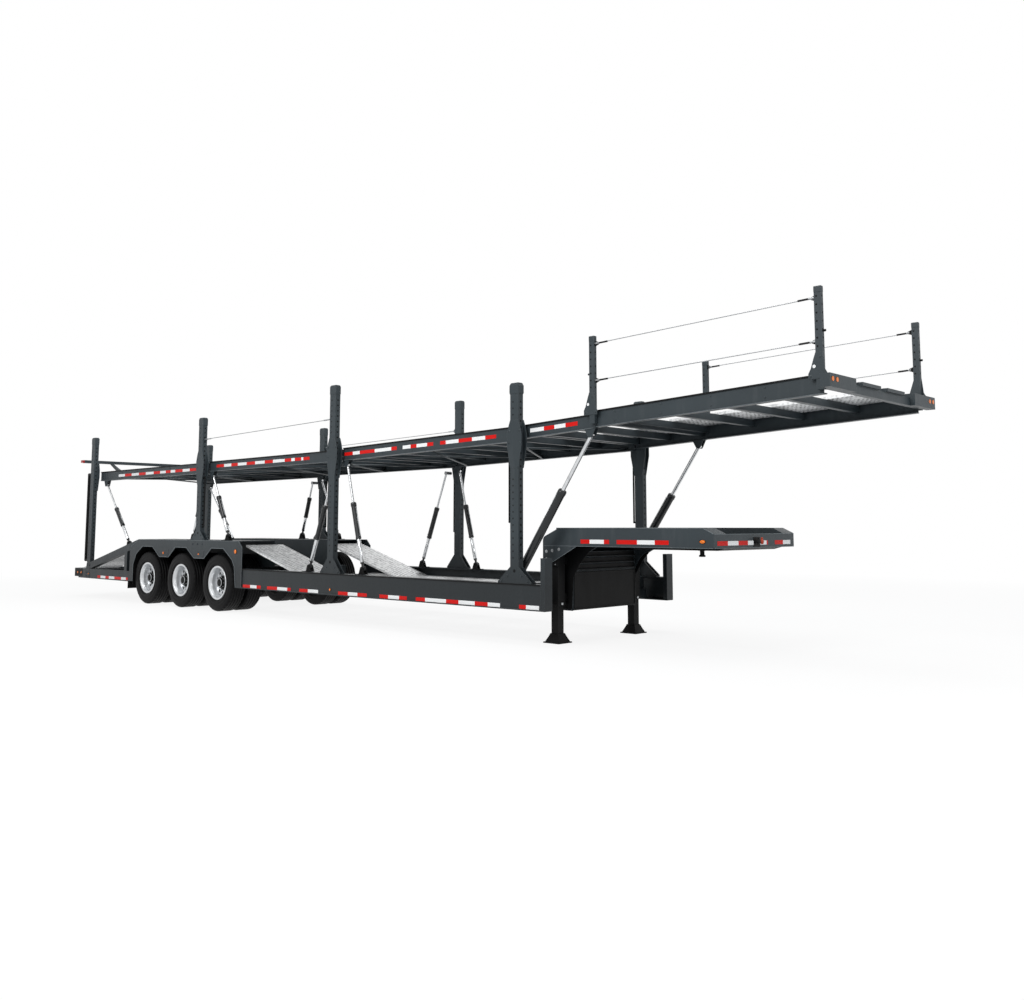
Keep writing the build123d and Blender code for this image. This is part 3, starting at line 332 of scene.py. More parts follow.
finishOfSlot = {
    "dark_paint": darkPaint, "black_paint": blackPaint, "bright_plate": punchedPlate,
    "chrome_rod": rodChrome, "tyre": tyreRubber, "rim": wheelSilver, "red_lamp": redLens,
    "amber_lamp": amberLens, "black_rubber": flapRubber, "steel_wire": ropeSteel,
}
for row in frame["record"]["subparts"]:
    for place in frame["nodes"][row["node"]].material_slots:
        isBarrel = row["node"].endswith("_barrels")
        place.material = barrelPaint if isBarrel else finishOfSlot[row["material_slot"]]


def finishPiece(name, mesh, materials, body):
    data = bpy.data.meshes.new(name)
    bmesh.ops.recalc_face_normals(mesh, faces=mesh.faces)
    mesh.to_mesh(data)
    mesh.free()
    for material in materials:
        data.materials.append(material)
    piece = addObject(name, data)
    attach(piece, body)
    return piece


def facesOf(corners):
    return list({face for corner in corners for face in corner.link_faces})


def edgesOf(corners):
    return list({edge for corner in corners for edge in corner.link_edges})


def cornersOf(made):
    return [item for item in made["geom"] if isinstance(item, bmesh.types.BMVert)]


def paint(faces, finish):
    for face in faces:
        face.material_index = finish


def soften(mesh, edges, width):
    if width > 0:
        bmesh.ops.bevel(mesh, geom=edges, offset=width, offset_type="OFFSET", affect="EDGES", segments=2,
                        profile=0.5, material=-1)


# a box between two opposite corners, given in any order
def addBlock(mesh, first, second, edge=0.0, finish=0):
    size = [abs(b - a) for a, b in zip(first, second)]
    middle = [(a + b) / 2 for a, b in zip(first, second)]
    turn = Matrix.Translation(middle) @ Matrix.Diagonal((*size, 1))
    corners = bmesh.ops.create_cube(mesh, size=1, matrix=turn)["verts"]
    paint(facesOf(corners), finish)
    soften(mesh, edgesOf(corners), edge)
    return corners


def alongAxis(start, end):
    run = Vector(end) - Vector(start)
    turn = run.to_track_quat("Z", "Y").to_matrix().to_4x4()
    return Matrix.Translation((Vector(start) + Vector(end)) / 2) @ turn


def addRod(mesh, start, end, radius, sides=16, finish=0, smooth=True, tip=None):
    length = (Vector(end) - Vector(start)).length
    made = bmesh.ops.create_cone(mesh, cap_ends=True, segments=sides, radius1=radius,
                                 radius2=radius if tip is None else tip, depth=length,
                                 matrix=alongAxis(start, end))
    for face in facesOf(made["verts"]):
        face.material_index = finish
        face.smooth = smooth and len(face.verts) == 4


# outline holds radius and distance along the axis, from the centre
def addTurned(mesh, centre, axis, outline, steps=48, finish=0, closed=False):
    known = set(mesh.faces)
    axis = Vector(axis).normalized()
    outward = axis.orthogonal().normalized()
    corners = [mesh.verts.new(Vector(centre) + outward * radius + axis * far) for radius, far in outline]
    edges = [mesh.edges.new((a, b)) for a, b in zip(corners, corners[1:])]
    if closed:
        edges.append(mesh.edges.new((corners[-1], corners[0])))
    bmesh.ops.spin(mesh, geom=corners + edges, cent=centre, axis=axis, angle=math.tau, steps=steps,
                   use_merge=True)
    fresh = [face for face in mesh.faces if face not in known]
    for face in fresh:
        face.material_index = finish
        face.smooth = True
    corners = list({corner for face in fresh for corner in face.verts})
    bmesh.ops.remove_doubles(mesh, verts=corners, dist=0.00005)


# a bar of rectangular section between two points: across is level, and along y where the bar is upright
def addBar(mesh, start, end, across, deep, finish=0, edge=0.0):
    run = Vector(end) - Vector(start)
    upright = math.hypot(run.x, run.y) < 0.001
    level = Vector((0, 1, 0)) if upright else Vector((-run.y, run.x, 0)).normalized()
    turn = Matrix((level, run.cross(level).normalized(), run.normalized())).transposed().to_4x4()
    middle = Matrix.Translation((Vector(start) + Vector(end)) / 2)
    size = Matrix.Diagonal((across, deep, run.length, 1))
    corners = bmesh.ops.create_cube(mesh, size=1, matrix=middle @ turn @ size)["verts"]
    paint(facesOf(corners), finish)
    soften(mesh, edgesOf(corners), edge)


# a plate cut to an outline in x and z, from one distance y to another
def addPlate(mesh, outline, yStart, yEnd, edge=0.0, finish=0):
    corners = [mesh.verts.new((x, yStart, z)) for x, z in outline]
    face = mesh.faces.new(corners)
    made = bmesh.ops.extrude_face_region(mesh, geom=[face], use_keep_orig=True)
    far = cornersOf(made)
    bmesh.ops.translate(mesh, vec=(0, yEnd - yStart, 0), verts=far)
    paint(facesOf(corners + far), finish)
    ends = [item for item in made["geom"] if isinstance(item, bmesh.types.BMFace)]
    soften(mesh, list({rim for item in ends for rim in item.edges}), edge)


# a flat ring with round holes, turned from its own plane to the axis of the wheel
def addRing(mesh, centre, side, far, outer, inner, holes, thick, steps=64, finish=0):
    turn = Matrix.Translation(centre) @ Matrix.Rotation(math.radians(-90 * side), 4, "X")
    loops = [bmesh.ops.create_circle(mesh, segments=steps, radius=radius) for radius in (outer, inner)]
    for radius, circle, count in holes:
        for index in range(count):
            angle = math.tau * (index + 0.5) / count
            spot = Matrix.Translation((circle * math.cos(angle), circle * math.sin(angle), 0))
            loops.append(bmesh.ops.create_circle(mesh, segments=16, radius=radius, matrix=spot))
    corners = [corner for loop in loops for corner in loop["verts"]]
    made = bmesh.ops.triangle_fill(mesh, use_beauty=True, use_dissolve=False, edges=edgesOf(corners),
                                   normal=(0, 0, 1))
    faces = [item for item in made["geom"] if isinstance(item, bmesh.types.BMFace)]
    grown = bmesh.ops.extrude_face_region(mesh, geom=faces, use_keep_orig=True)
    deep = cornersOf(grown)
    bmesh.ops.translate(mesh, vec=(0, 0, -thick), verts=deep)
    corners += deep
    for corner in corners:
        corner.co.z += far
    bmesh.ops.transform(mesh, matrix=turn, verts=corners)
    paint(facesOf(corners), finish)


# size is the width over the flats of the head
def addBolt(mesh, place, axis, size, finish=0, washer=True):
    axis = Vector(axis).normalized()
    place = Vector(place)
    if washer:
        addRod(mesh, place, place + axis * size * 0.12, size * 0.95, 12, finish, False)
        place = place + axis * size * 0.12
    addRod(mesh, place, place + axis * size * 0.42, size * 0.577, 6, finish, False, size * 0.53)


# a dark opening shown by a thin disc on the face, which stands out along way; a black disc is painted shade
# in the hole
def addHole(mesh, place, way, radius, sides, finish=1):
    addRod(mesh, place, Vector(place) + Vector(way), radius, sides, finish, False)


# tyres
tyre = {
    "xs": {"front": -2.610, "middle": -3.765, "rear": -4.920},
    "radius": 0.4475,
    "middles": (0.768, 1.084),
    "grooves": (-0.070, -0.0245, 0.0245, 0.070),
    "grooveHalf": 0.0055,
    "grooveDepth": 0.012,
    "lugDepth": 0.003,
    "steps": 72,
}
# end of the node's name, end of the piece's name, place along x and side
wheels = [(axle + "_" + sideName, axle.capitalize() + sideName.capitalize(), x, side)
          for axle, x in tyre["xs"].items() for sideName, side in (("right", -1), ("left", 1))]


def tyreOutline():
    side = [(0.2503, 0.112), (0.270, 0.112), (0.279, 0.121), (0.295, 0.134), (0.318, 0.1368),
            (0.322, 0.1340), (0.352, 0.1368), (0.372, 0.1372), (0.377, 0.1340), (0.402, 0.1335),
            (0.4225, 0.1285), (0.437, 0.1185), (0.4448, 0.109), (tyre["radius"], 0.098)]
    tread = []
    half, top = tyre["grooveHalf"], tyre["radius"]
    deep = top - tyre["grooveDepth"]
    for middle in reversed(tyre["grooves"]):
        tread += [(top, middle + half), (deep, middle + half * 0.6), (deep, middle - half * 0.6),
                  (top, middle - half)]
    return side + tread + [(radius, -far) for radius, far in reversed(side)]


# the tyre stands on the ground, so its radius is also the height of the axle
for name, label, x, side in wheels:
    mesh = bmesh.new()
    for middle in tyre["middles"]:
        centre = (x, side * middle, tyre["radius"])
        addTurned(mesh, centre, (0, side, 0), tyreOutline(), tyre["steps"], 0, True)
    # shoulder lugs: every second face of the shoulder is let in
    lugs = []
    for face in mesh.faces:
        spot = face.calc_center_median()
        away = min(abs(abs(spot.y) - middle) for middle in tyre["middles"])
        turn = math.atan2(spot.z - tyre["radius"], spot.x - x) / math.tau * tyre["steps"]
        if 0.098 < away < 0.1185 and math.floor(turn) % 2 == 0:
            lugs.append(face)
    bmesh.ops.inset_individual(mesh, faces=lugs, thickness=tyre["lugDepth"], depth=-tyre["lugDepth"])
    piece = finishPiece("tyres" + label, mesh, [tyreRubber], "wheels_" + name)
    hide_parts("tyres_" + name)
print("tyres made")

# wheel discs, rim faces, hubs and wheel nuts
wheelFace = {
    "rim": [(0.2662, 1.197), (0.2668, 1.203), (0.2640, 1.2075), (0.2590, 1.2085), (0.2550, 1.2065),
            (0.2500, 1.2070), (0.2420, 1.2065), (0.2372, 1.203), (0.2366, 1.168), (0.2312, 1.160),
            (0.2297, 1.154), (0.2293, 1.130), (0.2272, 1.124), (0.2264, 1.070), (0.2255, 1.066),
            (0.2180, 1.078), (0.2080, 1.094), (0.2000, 1.099)],
    "discOuter": 0.2010,
    "discInner": 0.0980,
    "discFace": 1.0995,
    "discThickness": 0.012,
    "handHoles": (0.0290, 0.1655, 10),
    "holeShadeFace": 1.062,
    "hub": [(0.0985, 1.086), (0.1130, 1.0995), (0.1130, 1.103), (0.1030, 1.106), (0.1005, 1.112),
            (0.1000, 1.126), (0.0950, 1.1315), (0.0720, 1.1325), (0.0700, 1.137), (0.0690, 1.160),
            (0.0600, 1.1705), (0.0200, 1.1725), (0.0, 1.1725)],
    # count, circle, face, width over the flats, and whether a stud stands out of it: wheel nuts, cap bolts
    "bolts": [(10, 0.125, 1.0995, 0.024, True), (8, 0.084, 1.1315, 0.014, False)],
}
for name, label, x, side in wheels:
    mesh = bmesh.new()
    centre, out = (x, 0, tyre["radius"]), (0, side, 0)
    outer, inner = wheelFace["discOuter"], wheelFace["discInner"]
    addTurned(mesh, centre, out, wheelFace["rim"], 64, 0)
    addRing(mesh, centre, side, wheelFace["discFace"], outer, inner, [wheelFace["handHoles"]],
            wheelFace["discThickness"], 64, 0)
    # black ring behind the hand holes: painted shade seen through them
    addRing(mesh, centre, side, wheelFace["holeShadeFace"], outer + 0.020, inner, [], 0.006, 40, 1)
    addTurned(mesh, centre, out, wheelFace["hub"], 40, 1)
    for count, circle, face, size, hasStud in wheelFace["bolts"]:
        for index in range(count):
            angle = math.tau * index / count
            spot = Vector((x + circle * math.cos(angle), side * face,
                           tyre["radius"] + circle * math.sin(angle)))
            addBolt(mesh, spot, out, size, 2, hasStud)
            if hasStud:
                addRod(mesh, spot, spot + Vector((0, side * 0.026, 0)), 0.008, 10, 2, True, 0.007)
    finishPiece("wheelFace" + label, mesh, [wheelSilver, blackPaint, zincSteel], "wheels_" + name)
print("wheel faces made")

# reflective tape
# body, distance of the face from the middle, height at x = 0, rise per metre, then red, white or gap
# from each joint to the next, and the joints along the row
tape = {
    "height": 0.046,
    "thickness": 0.0012,
    "rows": [
        ("chassis", 1.238, 0.432, 0.0, "rwr-rwr-rw-rwr-rwr-rwrwrw-rw", [
            -1.805, -1.602, -1.427, -1.316, -1.146, -0.880, -0.627, -0.539, -0.326, -0.118, 0.124,
            0.582, 0.800, 1.006, 1.205, 1.469, 1.645, 1.861, 2.011, 2.185, 2.358, 2.739, 2.960,
            3.238, 3.454, 3.652, 3.954, 4.060, 4.257]),
        ("chassis", 1.250, 0.405, 0.0, "rwrwrwr", [
            -6.774, -6.640, -6.442, -6.300, -6.083, -5.818, -5.632, -5.559]),
        ("bed_rear", 1.110, 2.2993, 0.0033, "wrwrwrwrwrwr", [
            -6.368, -6.119, -5.850, -5.575, -5.313, -5.019, -4.779, -4.585, -4.409, -4.249, -3.995,
            -3.760, -3.539]),
        ("bed_middle", 1.110, 2.327, 0.004, "rwrwrwrwrwrwr", [
            -2.895, -2.665, -2.448, -2.255, -2.003, -1.758, -1.491, -1.269, -0.958, -0.784, -0.697,
            -0.530, -0.480, -0.328]),
        ("bed_fore", 1.110, 2.3297, 0.0236, "rwrwr-wrwr-rwrwr", [
            0.500, 0.692, 0.845, 1.170, 1.516, 1.629, 1.750, 1.906, 2.024, 2.227, 2.345, 2.474,
            2.579, 2.810, 3.050, 3.278, 3.462]),
        ("bed_nose", 1.110, 2.248, 0.049, "wrwr", [
            4.013, 4.225, 4.384, 4.548, 4.725]),
        ("chassis", 0.840, 1.168, 0.0, "rwr-rwr", [
            4.535, 4.665, 4.868, 4.940, 5.044, 5.319, 5.550, 5.728]),
    ],
    "frontFace": 6.277,
    "frontHeight": 1.165,
    "frontRow": ("rwrw-wr-rw", [
        -0.776, -0.574, -0.366, -0.173, -0.050, 0.071, 0.221, 0.252, 0.406, 0.589, 0.758]),
}
tapeFinish = {"r": 0, "w": 1}
stripMeshes = {}


def stripsOf(colours, joints):
    for colour, start, end in zip(colours, joints, joints[1:]):
        if colour in tapeFinish:
            yield tapeFinish[colour], start, end


for body, face, height, rise, colours, joints in tape["rows"]:
    mesh = stripMeshes.setdefault(body, bmesh.new())
    low, high = height - tape["height"] / 2, height + tape["height"] / 2
    for finish, start, end in stripsOf(colours, joints):
        for side in (-1, 1):
            proud = side * (face + tape["thickness"])
            for corner in addBlock(mesh, (start, side * face, low), (end, proud, high), 0, finish):
                corner.co.z += rise * corner.co.x
low, high = tape["frontHeight"] - tape["height"] / 2, tape["frontHeight"] + tape["height"] / 2
for finish, start, end in stripsOf(*tape["frontRow"]):
    addBlock(stripMeshes["chassis"], (tape["frontFace"], start, low),
             (tape["frontFace"] + tape["thickness"], end, high), 0, finish)
for body, mesh in stripMeshes.items():
    finishPiece("tape_" + body, mesh, [redTape, whiteTape], body)
print("tape made")

# cylinders: polished sleeves, gland rings and feed pipes
# name, body, foot, eye, barrel radius, sleeve radius, start and end of the barrel from the foot
cylinderTrim = {
    "away": 1.080,
    "rows": [
        ("rearLift", "barrels_rear", (-5.900, 1.040), (-6.880, 2.125), 0.036, 0.026, 0.420, 0.850),
        ("middleLift", "barrels_middle", (-2.520, 1.185), (-3.040, 2.165), 0.036, 0.026, 0.330, 0.720),
        ("foreLift", "barrels_fore", (0.920, 0.763), (0.540, 2.200), 0.036, 0.026, 0.420, 0.930),
        ("noseLift", "barrels_nose", (3.800, 0.763), (4.900, 2.345), 0.046, 0.046, 0.072, 1.190),
        ("secondProp", "chassis", (-3.600, 1.185), (-3.310, 2.120), 0.036, 0.026, 0.330, 0.700),
        ("thirdProp", "chassis", (-0.300, 0.763), (0.245, 2.170), 0.036, 0.026, 0.420, 0.930),
    ],
}
for name, body, foot, eye, barrelRadius, sleeveRadius, low, high in cylinderTrim["rows"]:
    mesh = bmesh.new()
    for side in (-1, 1):
        base = Vector((foot[0], side * cylinderTrim["away"], foot[1]))
        run = (Vector((eye[0], base.y, eye[1])) - base).normalized()
        beside = run.cross(Vector((0, 1, 0)))
        if beside.z < 0:
            beside = -beside
        # rod sleeve below the barrel, gland ring at its foot and cap at its head
        if low > 0.1:
            wide = sleeveRadius + 0.001
            addTurned(mesh, base, run, [(0.0, 0.086), (sleeveRadius - 0.004, 0.086), (wide, 0.092),
                                        (wide, low - 0.002), (sleeveRadius - 0.002, low + 0.004)], 20, 0)
        wide = barrelRadius + 0.003
        addTurned(mesh, base, run, [(barrelRadius - 0.002, low - 0.004), (wide, low), (wide, low + 0.022),
                                    (barrelRadius - 0.002, low + 0.026)], 24, 1)
        wide, bore = barrelRadius + 0.0045, 0.0175 if barrelRadius < 0.04 else 0.0235
        addTurned(mesh, base, run, [(barrelRadius - 0.001, high - 0.052), (wide, high - 0.048),
                                    (wide, high - 0.010), (barrelRadius - 0.004, high + 0.003),
                                    (bore, high + 0.003)], 24, 1)
        start = base + run * (low + 0.040) + beside * (barrelRadius + 0.010)
        end = base + run * (high - 0.075) + beside * (barrelRadius + 0.010)
        addRod(mesh, start, end, 0.0055, 8, 2)
        for place in (start, end):
            addRod(mesh, place - beside * 0.014, place + beside * 0.006, 0.009, 6, 2, False)
    finishPiece(name + "Trim", mesh, [rodChrome, barrelPaint, zincSteel], body)
print("cylinder trim made")

# posts: outer guide plates, caps, pin holes, wire ears, foot bolts
mast = {
    # centre x, foot z, top z, half length and height of the foot
    "rows": [(-7.180, 0.362, 3.020, 0.0, 0.0), (-3.180, 1.112, 3.110, 0.205, 0.155),
             (0.400, 0.690, 3.305, 0.225, 0.210), (3.890, 0.690, 2.995, 0.260, 0.190)],
    "face": 1.250,
    "middle": 1.210,
    "half": 0.065,
    "shoe": [(-0.105, 0.365), (-0.105, 0.500), (-0.066, 0.655), (0.066, 0.655), (0.066, 0.365)],
    "shoeBolts": [(-0.080, 0.400), (-0.080, 0.470), (0.040, 0.400), (0.040, 0.610), (-0.040, 0.610)],
    "guideBolts": [(-0.090, 2.300), (0.090, 2.300), (-0.080, 2.440), (0.080, 2.440)],
    "guide": [(-0.065, 2.010), (-0.116, 2.270), (-0.116, 2.400), (-0.090, 2.500), (-0.065, 2.568),
              (0.065, 2.568), (0.090, 2.500), (0.116, 2.400), (0.116, 2.270), (0.065, 2.010)],
    "guideThickness": 0.0035,
    "shoeThickness": 0.002,
    "holePitch": 0.075,
    "holeRadius": 0.013,
}
mesh = bmesh.new()
for x, foot, top, footHalf, footHeight in mast["rows"]:
    for side in (-1, 1):
        face, out = side * mast["face"], (0, side, 0)
        if footHalf > 0:
            addPlate(mesh, [(x + away, height) for away, height in mast["guide"]], face,
                     face + side * mast["guideThickness"], 0.0015, 0)
            for away, height in mast["guideBolts"]:
                addBolt(mesh, (x + away, face + side * mast["guideThickness"], height), out, 0.015)
        # cap: a folded collar with a shallow crown
        addBlock(mesh, (x - 0.069, side * 1.166, top - 0.120), (x + 0.069, side * 1.254, top - 0.012), 0.003)
        addBlock(mesh, (x - 0.062, side * 1.172, top - 0.03), (x + 0.062, side * 1.248, top + 0.010), 0.009)
        # pin holes on the front and rear faces, and smaller ones on the outer face clear of the guide, as
        # black discs: painted shade in the holes
        height = max(foot + footHeight, 0.70) + 0.10
        while height < top - 0.16:
            for end in (-1, 1):
                addHole(mesh, (x + end * mast["half"], side * mast["middle"], height), (end * 0.0010, 0, 0),
                        mast["holeRadius"], 12)
            if not 1.95 < height < 2.60:
                addHole(mesh, (x - 0.020, face, height), (0, side * 0.0008, 0), mast["holeRadius"] * 0.7, 12)
            height += mast["holePitch"]
        # foot bolts
        if footHalf > 0:
            for away in (-0.80, -0.42, 0.42, 0.80):
                lift = 0.024 if abs(away) > 0.7 else 0.085
                addBolt(mesh, (x + away * footHalf, face, foot + lift), out, 0.018)
            # a black disc in the foot: painted shade in the hole
            addHole(mesh, (x, face, foot + footHeight * 0.75), (0, side * 0.0012, 0), 0.019, 16)
            # stiffener behind the foot plates
            for away in (-0.5, 0.5):
                place = (x + away * footHalf * 1.2, side * mast["middle"])
                addBar(mesh, (*place, foot + 0.014), (*place, foot + footHeight * 0.35), 0.054, 0.006, 0)
        else:
            proud = face + side * mast["shoeThickness"]
            addPlate(mesh, [(x + away, height) for away, height in mast["shoe"]], face, proud, 0.0005, 0)
            for away, height in mast["shoeBolts"]:
                addBolt(mesh, (x + away, proud, height), out, 0.018)
# ears that take the wire between the second and third posts
for x, end, height in ((-3.180, 1, 2.760), (0.400, -1, 2.840)):
    for side in (-1, 1):
        start = x + end * mast["half"]
        addPlate(mesh, [(start, height - 0.045), (start + end * 0.050, height - 0.020),
                        (start + end * 0.050, height + 0.020), (start, height + 0.045)],
                 side * 1.196, side * 1.203, 0.001, 0)
        pin = start + end * 0.034
        addRod(mesh, (pin, side * 1.192, height), (pin, side * 1.222, height), 0.007, 10, 2)
        middle = side * mast["middle"]
        addRod(mesh, (start + end * 0.060, middle, height),
               (start + end * 0.190, middle, height + 0.0225 * end * 0.13), 0.0105, 6, 2, False)
finishPiece("postFittings", mesh, [darkPaint, blackPaint, zincSteel], "chassis")
print("post fittings made")

# crossed braces under the beds
# body, x of the crosses' ends, height of the bed's top at x = 0, rise per metre, how far the brace hangs
braces = {
    "radius": 0.013,
    "reach": 1.100,
    "rows": [
        ("bed_rear", (-6.900, -5.300, -3.700), 2.3983, 0.00328, 0.150),
        ("bed_middle", (-2.800, -1.300, 0.200), 2.4102, 0.00395, 0.137),
        ("bed_fore", (0.700, 2.250, 3.750), 2.4207, 0.02356, 0.152),
    ],
}
for body, joints, height, rise, hang in braces["rows"]:
    mesh = bmesh.new()
    for rear, fore in zip(joints, joints[1:]):
        # the second rod of a cross passes under the first
        for side, drop in ((-1, 0.0), (1, 0.027)):
            ends = [(x, y * braces["reach"], height + rise * x - hang - drop + 0.013) for x, y in
                    ((rear, side), (fore, -side))]
            addRod(mesh, ends[0], ends[1], braces["radius"], 10)
            # gusset plates
            for x, y, z in ends:
                way = 1 if x == rear else -1
                addBlock(mesh, (x - 0.02 * way, y, z - 0.004), (x + 0.10 * way, y * 0.93, z + 0.004), 0.001)
    finishPiece("braces_" + body, mesh, [darkPaint], body)
print("braces made")

# wheel arches: folded edge along the openings, seams and bolts; the edge and the top seam are drawn pale as
# a painted highlight
arch = {
    "opening": [(-2.003, 0.398), (-2.003, 0.420), (-2.046, 0.720), (-2.120, 0.824), (-2.377, 0.992),
                (-2.738, 0.992), (-2.963, 0.824), (-3.275, 0.824), (-3.532, 0.992), (-3.893, 0.992),
                (-4.118, 0.824), (-4.430, 0.824), (-4.687, 0.992), (-5.048, 0.992), (-5.273, 0.854),
                (-5.383, 0.663), (-5.383, 0.375)],
    "top": [(-5.480, 0.978), (-5.190, 1.108), (-1.938, 1.108), (-1.839, 1.009), (-1.839, 0.400)],
    "liner": [(-5.396, 0.300), (-5.396, 0.668), (-5.287, 0.864), (-5.190, 0.945), (-5.056, 1.006),
              (-4.690, 1.006)],
    "face": 1.250,
    "strip": 0.012,
    "proud": 0.004,
}


def addBars(mesh, places, y, across, deep, finish=0):
    for start, end in zip(places, places[1:]):
        addBar(mesh, (start[0], y, start[1]), (end[0], y, end[1]), across, deep, finish)


mesh = bmesh.new()
for side in (-1, 1):
    face, middle = side * arch["face"], side * (arch["face"] + arch["proud"] / 2)
    # the folded edge and the top seam are in pale paint: a painted highlight
    addBars(mesh, arch["opening"], middle, arch["proud"], arch["strip"])
    addBars(mesh, arch["top"], middle, arch["proud"] * 0.6, 0.007)
    # base plates of the posts and cylinders are bolted through the arch side
    for x in (-3.330, -3.180, -3.030):
        addBolt(mesh, (x, face, 1.050), (0, side, 0), 0.018, 1)
    for x in (-4.275, -3.120):
        addPlate(mesh, [(x - 0.120, 0.833), (x - 0.165, 0.955), (x + 0.165, 0.955), (x + 0.120, 0.833)],
                 face, side * 1.2525, 0.0008, 1)
    # black lip along the low beam
    addBars(mesh, [(-1.835, 0.683), (4.288, 0.683)], side * 1.251, 0.002, 0.014, 2)
finishPiece("archEdges", mesh, [palePaint, darkPaint, blackPaint], "chassis")
# black splash liner inside the rearmost arch, between the side plate and the inner wall
mesh = bmesh.new()
for side in (-1, 1):
    addBars(mesh, arch["liner"], side * 0.920, 0.630, 0.004)
finishPiece("archLiners", mesh, [blackPaint], "chassis")
print("arch edges made")


# a black ring, with the lens in it
def addLens(mesh, centre, axis, radius, deep, squash=1.0, lens=0):
    known = set(mesh.verts)
    addTurned(mesh, centre, axis, [(radius, 0.0), (radius, deep * 0.45), (radius * 0.93, deep * 0.55),
                                   (radius * 0.86, deep * 0.45)], 28, 1)
    addTurned(mesh, centre, axis, [(radius * 0.86, deep * 0.4), (radius * 0.80, deep * 0.72),
                                   (radius * 0.5, deep * 0.94), (0.0, deep)], 28, lens)
    for corner in mesh.verts:
        if corner not in known:
            corner.co.z = centre[2] + (corner.co.z - centre[2]) * squash


# marker lamps along the sides, and the lamps of the tail
# x, z, radius, distance of the face, height over width, depth
markers = {
    "rows": [(-4.294, 0.887, 0.024, 1.250, 1.0, 0.012), (-3.128, 0.889, 0.024, 1.250, 0.6, 0.012),
             (-2.024, 0.948, 0.038, 1.250, 1.0, 0.012), (-7.150, 0.447, 0.016, 1.256, 1.0, 0.006),
             (6.143, 1.182, 0.038, 0.840, 0.55, 0.012), (0.400, 0.470, 0.020, 1.238, 1.0, 0.012)],
    "tailHeight": 0.463,
    "tailBox": ((-7.7645, 0.866, 0.4155), (-7.758, 1.154, 0.5105)),
    "tailLenses": [(0.920, 0), (1.010, 0), (1.100, 2)],
}
mesh = bmesh.new()
for x, z, radius, face, squash, deep in markers["rows"]:
    for side in (-1, 1):
        addLens(mesh, (x, side * face, z), (0, side, 0), radius, deep, squash)
piece = finishPiece("sideLenses", mesh, [amberLens, blackPaint], "chassis")
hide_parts("side_lamps")
mesh = bmesh.new()
low, high = markers["tailBox"]
for side in (-1, 1):
    addBlock(mesh, (low[0], side * low[1], low[2]), (high[0], side * high[1], high[2]), 0.002, 1)
    for away, lens in markers["tailLenses"]:
        place = (low[0], side * away, markers["tailHeight"])
        addLens(mesh, place, (-1, 0, 0), 0.040, 0.0052, 1.0, lens)
    for away in (0.876, 1.144):
        addBolt(mesh, (low[0], side * away, markers["tailHeight"]), (-1, 0, 0), 0.009, 3, False)
piece = finishPiece("tailLenses", mesh, [redLens, blackPaint, clearLens, zincSteel], "chassis")
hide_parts("tail_lamps")
print("lamps made")

# rear bumper: end caps with lamps, bare plate holder, tow eyes, and flap brackets with their bolts
rear = {
    "face": -7.758,
    "side": 1.250,
    "capFace": 1.2525,
    "cap": [(-7.752, 0.392), (-7.752, 0.534), (-7.420, 0.534), (-7.420, 0.392)],
    "towEye": [(-7.769, 0.400), (-7.769, 0.470), (-7.758, 0.520), (-7.758, 0.390)],
    "flapBolts": (0.700, 0.850, 1.000, 1.150),
}
mesh = bmesh.new()
for side in (-1, 1):
    addPlate(mesh, rear["cap"], side * rear["side"], side * rear["capFace"], 0.0008, 1)
    for x in (-7.620, -7.470):
        addLens(mesh, (x, side * rear["capFace"], 0.462), (0, side, 0), 0.024, 0.008, 1.0, 3)
    addBlock(mesh, (-5.560, side * 0.640, 0.300), (-5.556, side * 1.240, 0.358), 0.001, 2)
    for away in rear["flapBolts"]:
        addBolt(mesh, (-5.560, side * away, 0.330), (-1, 0, 0), 0.020, 2)
    addPlate(mesh, rear["towEye"], side * 0.420, side * 0.440, 0.001, 1)
addBlock(mesh, (-7.763, -0.270, 0.395), (rear["face"], 0.270, 0.531), 0.002, 1)
addBlock(mesh, (-7.766, -0.262, 0.403), (-7.762, 0.262, 0.523), 0.001, 0)
for away in (-0.20, 0.20):
    addBolt(mesh, (-7.766, away, 0.463), (-1, 0, 0), 0.008, 2, False)
finishPiece("rearFittings", mesh, [palePaint, blackPaint, zincSteel, amberLens], "chassis")
print("rear fittings made")

# gooseneck: black panels and ribs on its rear wall, leg gear, couplings, seams and bolts
neck = {
    "wall": 4.229,
    "inner": 0.596,
    "side": 0.840,
    "front": 6.277,
    "gussetShadeSheet": [(4.000, 0.380), (4.000, 1.105), (4.570, 1.105), (4.470, 1.045), (4.330, 0.900),
               (4.235, 0.745), (4.210, 0.380)],
    "bolts": [(4.020, 0.960), (4.020, 1.050), (4.110, 1.060), (4.210, 1.075)],
    # seams of the side plate and the turned-in edge of the gusset, drawn in pale paint as painted highlights
    "seams": [((3.970, 1.115), (6.270, 1.115)), ((4.220, 1.319), (6.140, 1.319)),
              ((6.150, 1.318), (6.272, 1.262)), ((4.034, 0.888), (4.462, 1.108))],
    # radius and distance from the front of an air coupling
    "coupling": [(0.0, 0.0), (0.022, 0.0), (0.022, 0.012), (0.012, 0.016), (0.012, 0.030), (0.027, 0.034),
                 (0.029, 0.040), (0.027, 0.050), (0.012, 0.054), (0.0, 0.054)],
}
leg = {"x": 4.095, "y": 0.735, "half": 0.0625, "gearHeight": 0.940}
mesh = bmesh.new()
wall, inner = neck["wall"], neck["inner"]
skin = wall + 0.003
addBlock(mesh, (wall, -inner, 0.372), (skin, inner, 0.812), 0.001)
for height in (0.380, 0.795):
    addBlock(mesh, (skin, -inner, height - 0.010), (wall + 0.012, inner, height + 0.010), 0.002)
for away in (-0.585, 0.585):
    addBlock(mesh, (skin, away - 0.009, 0.385), (wall + 0.010, away + 0.009, 0.790), 0.002)
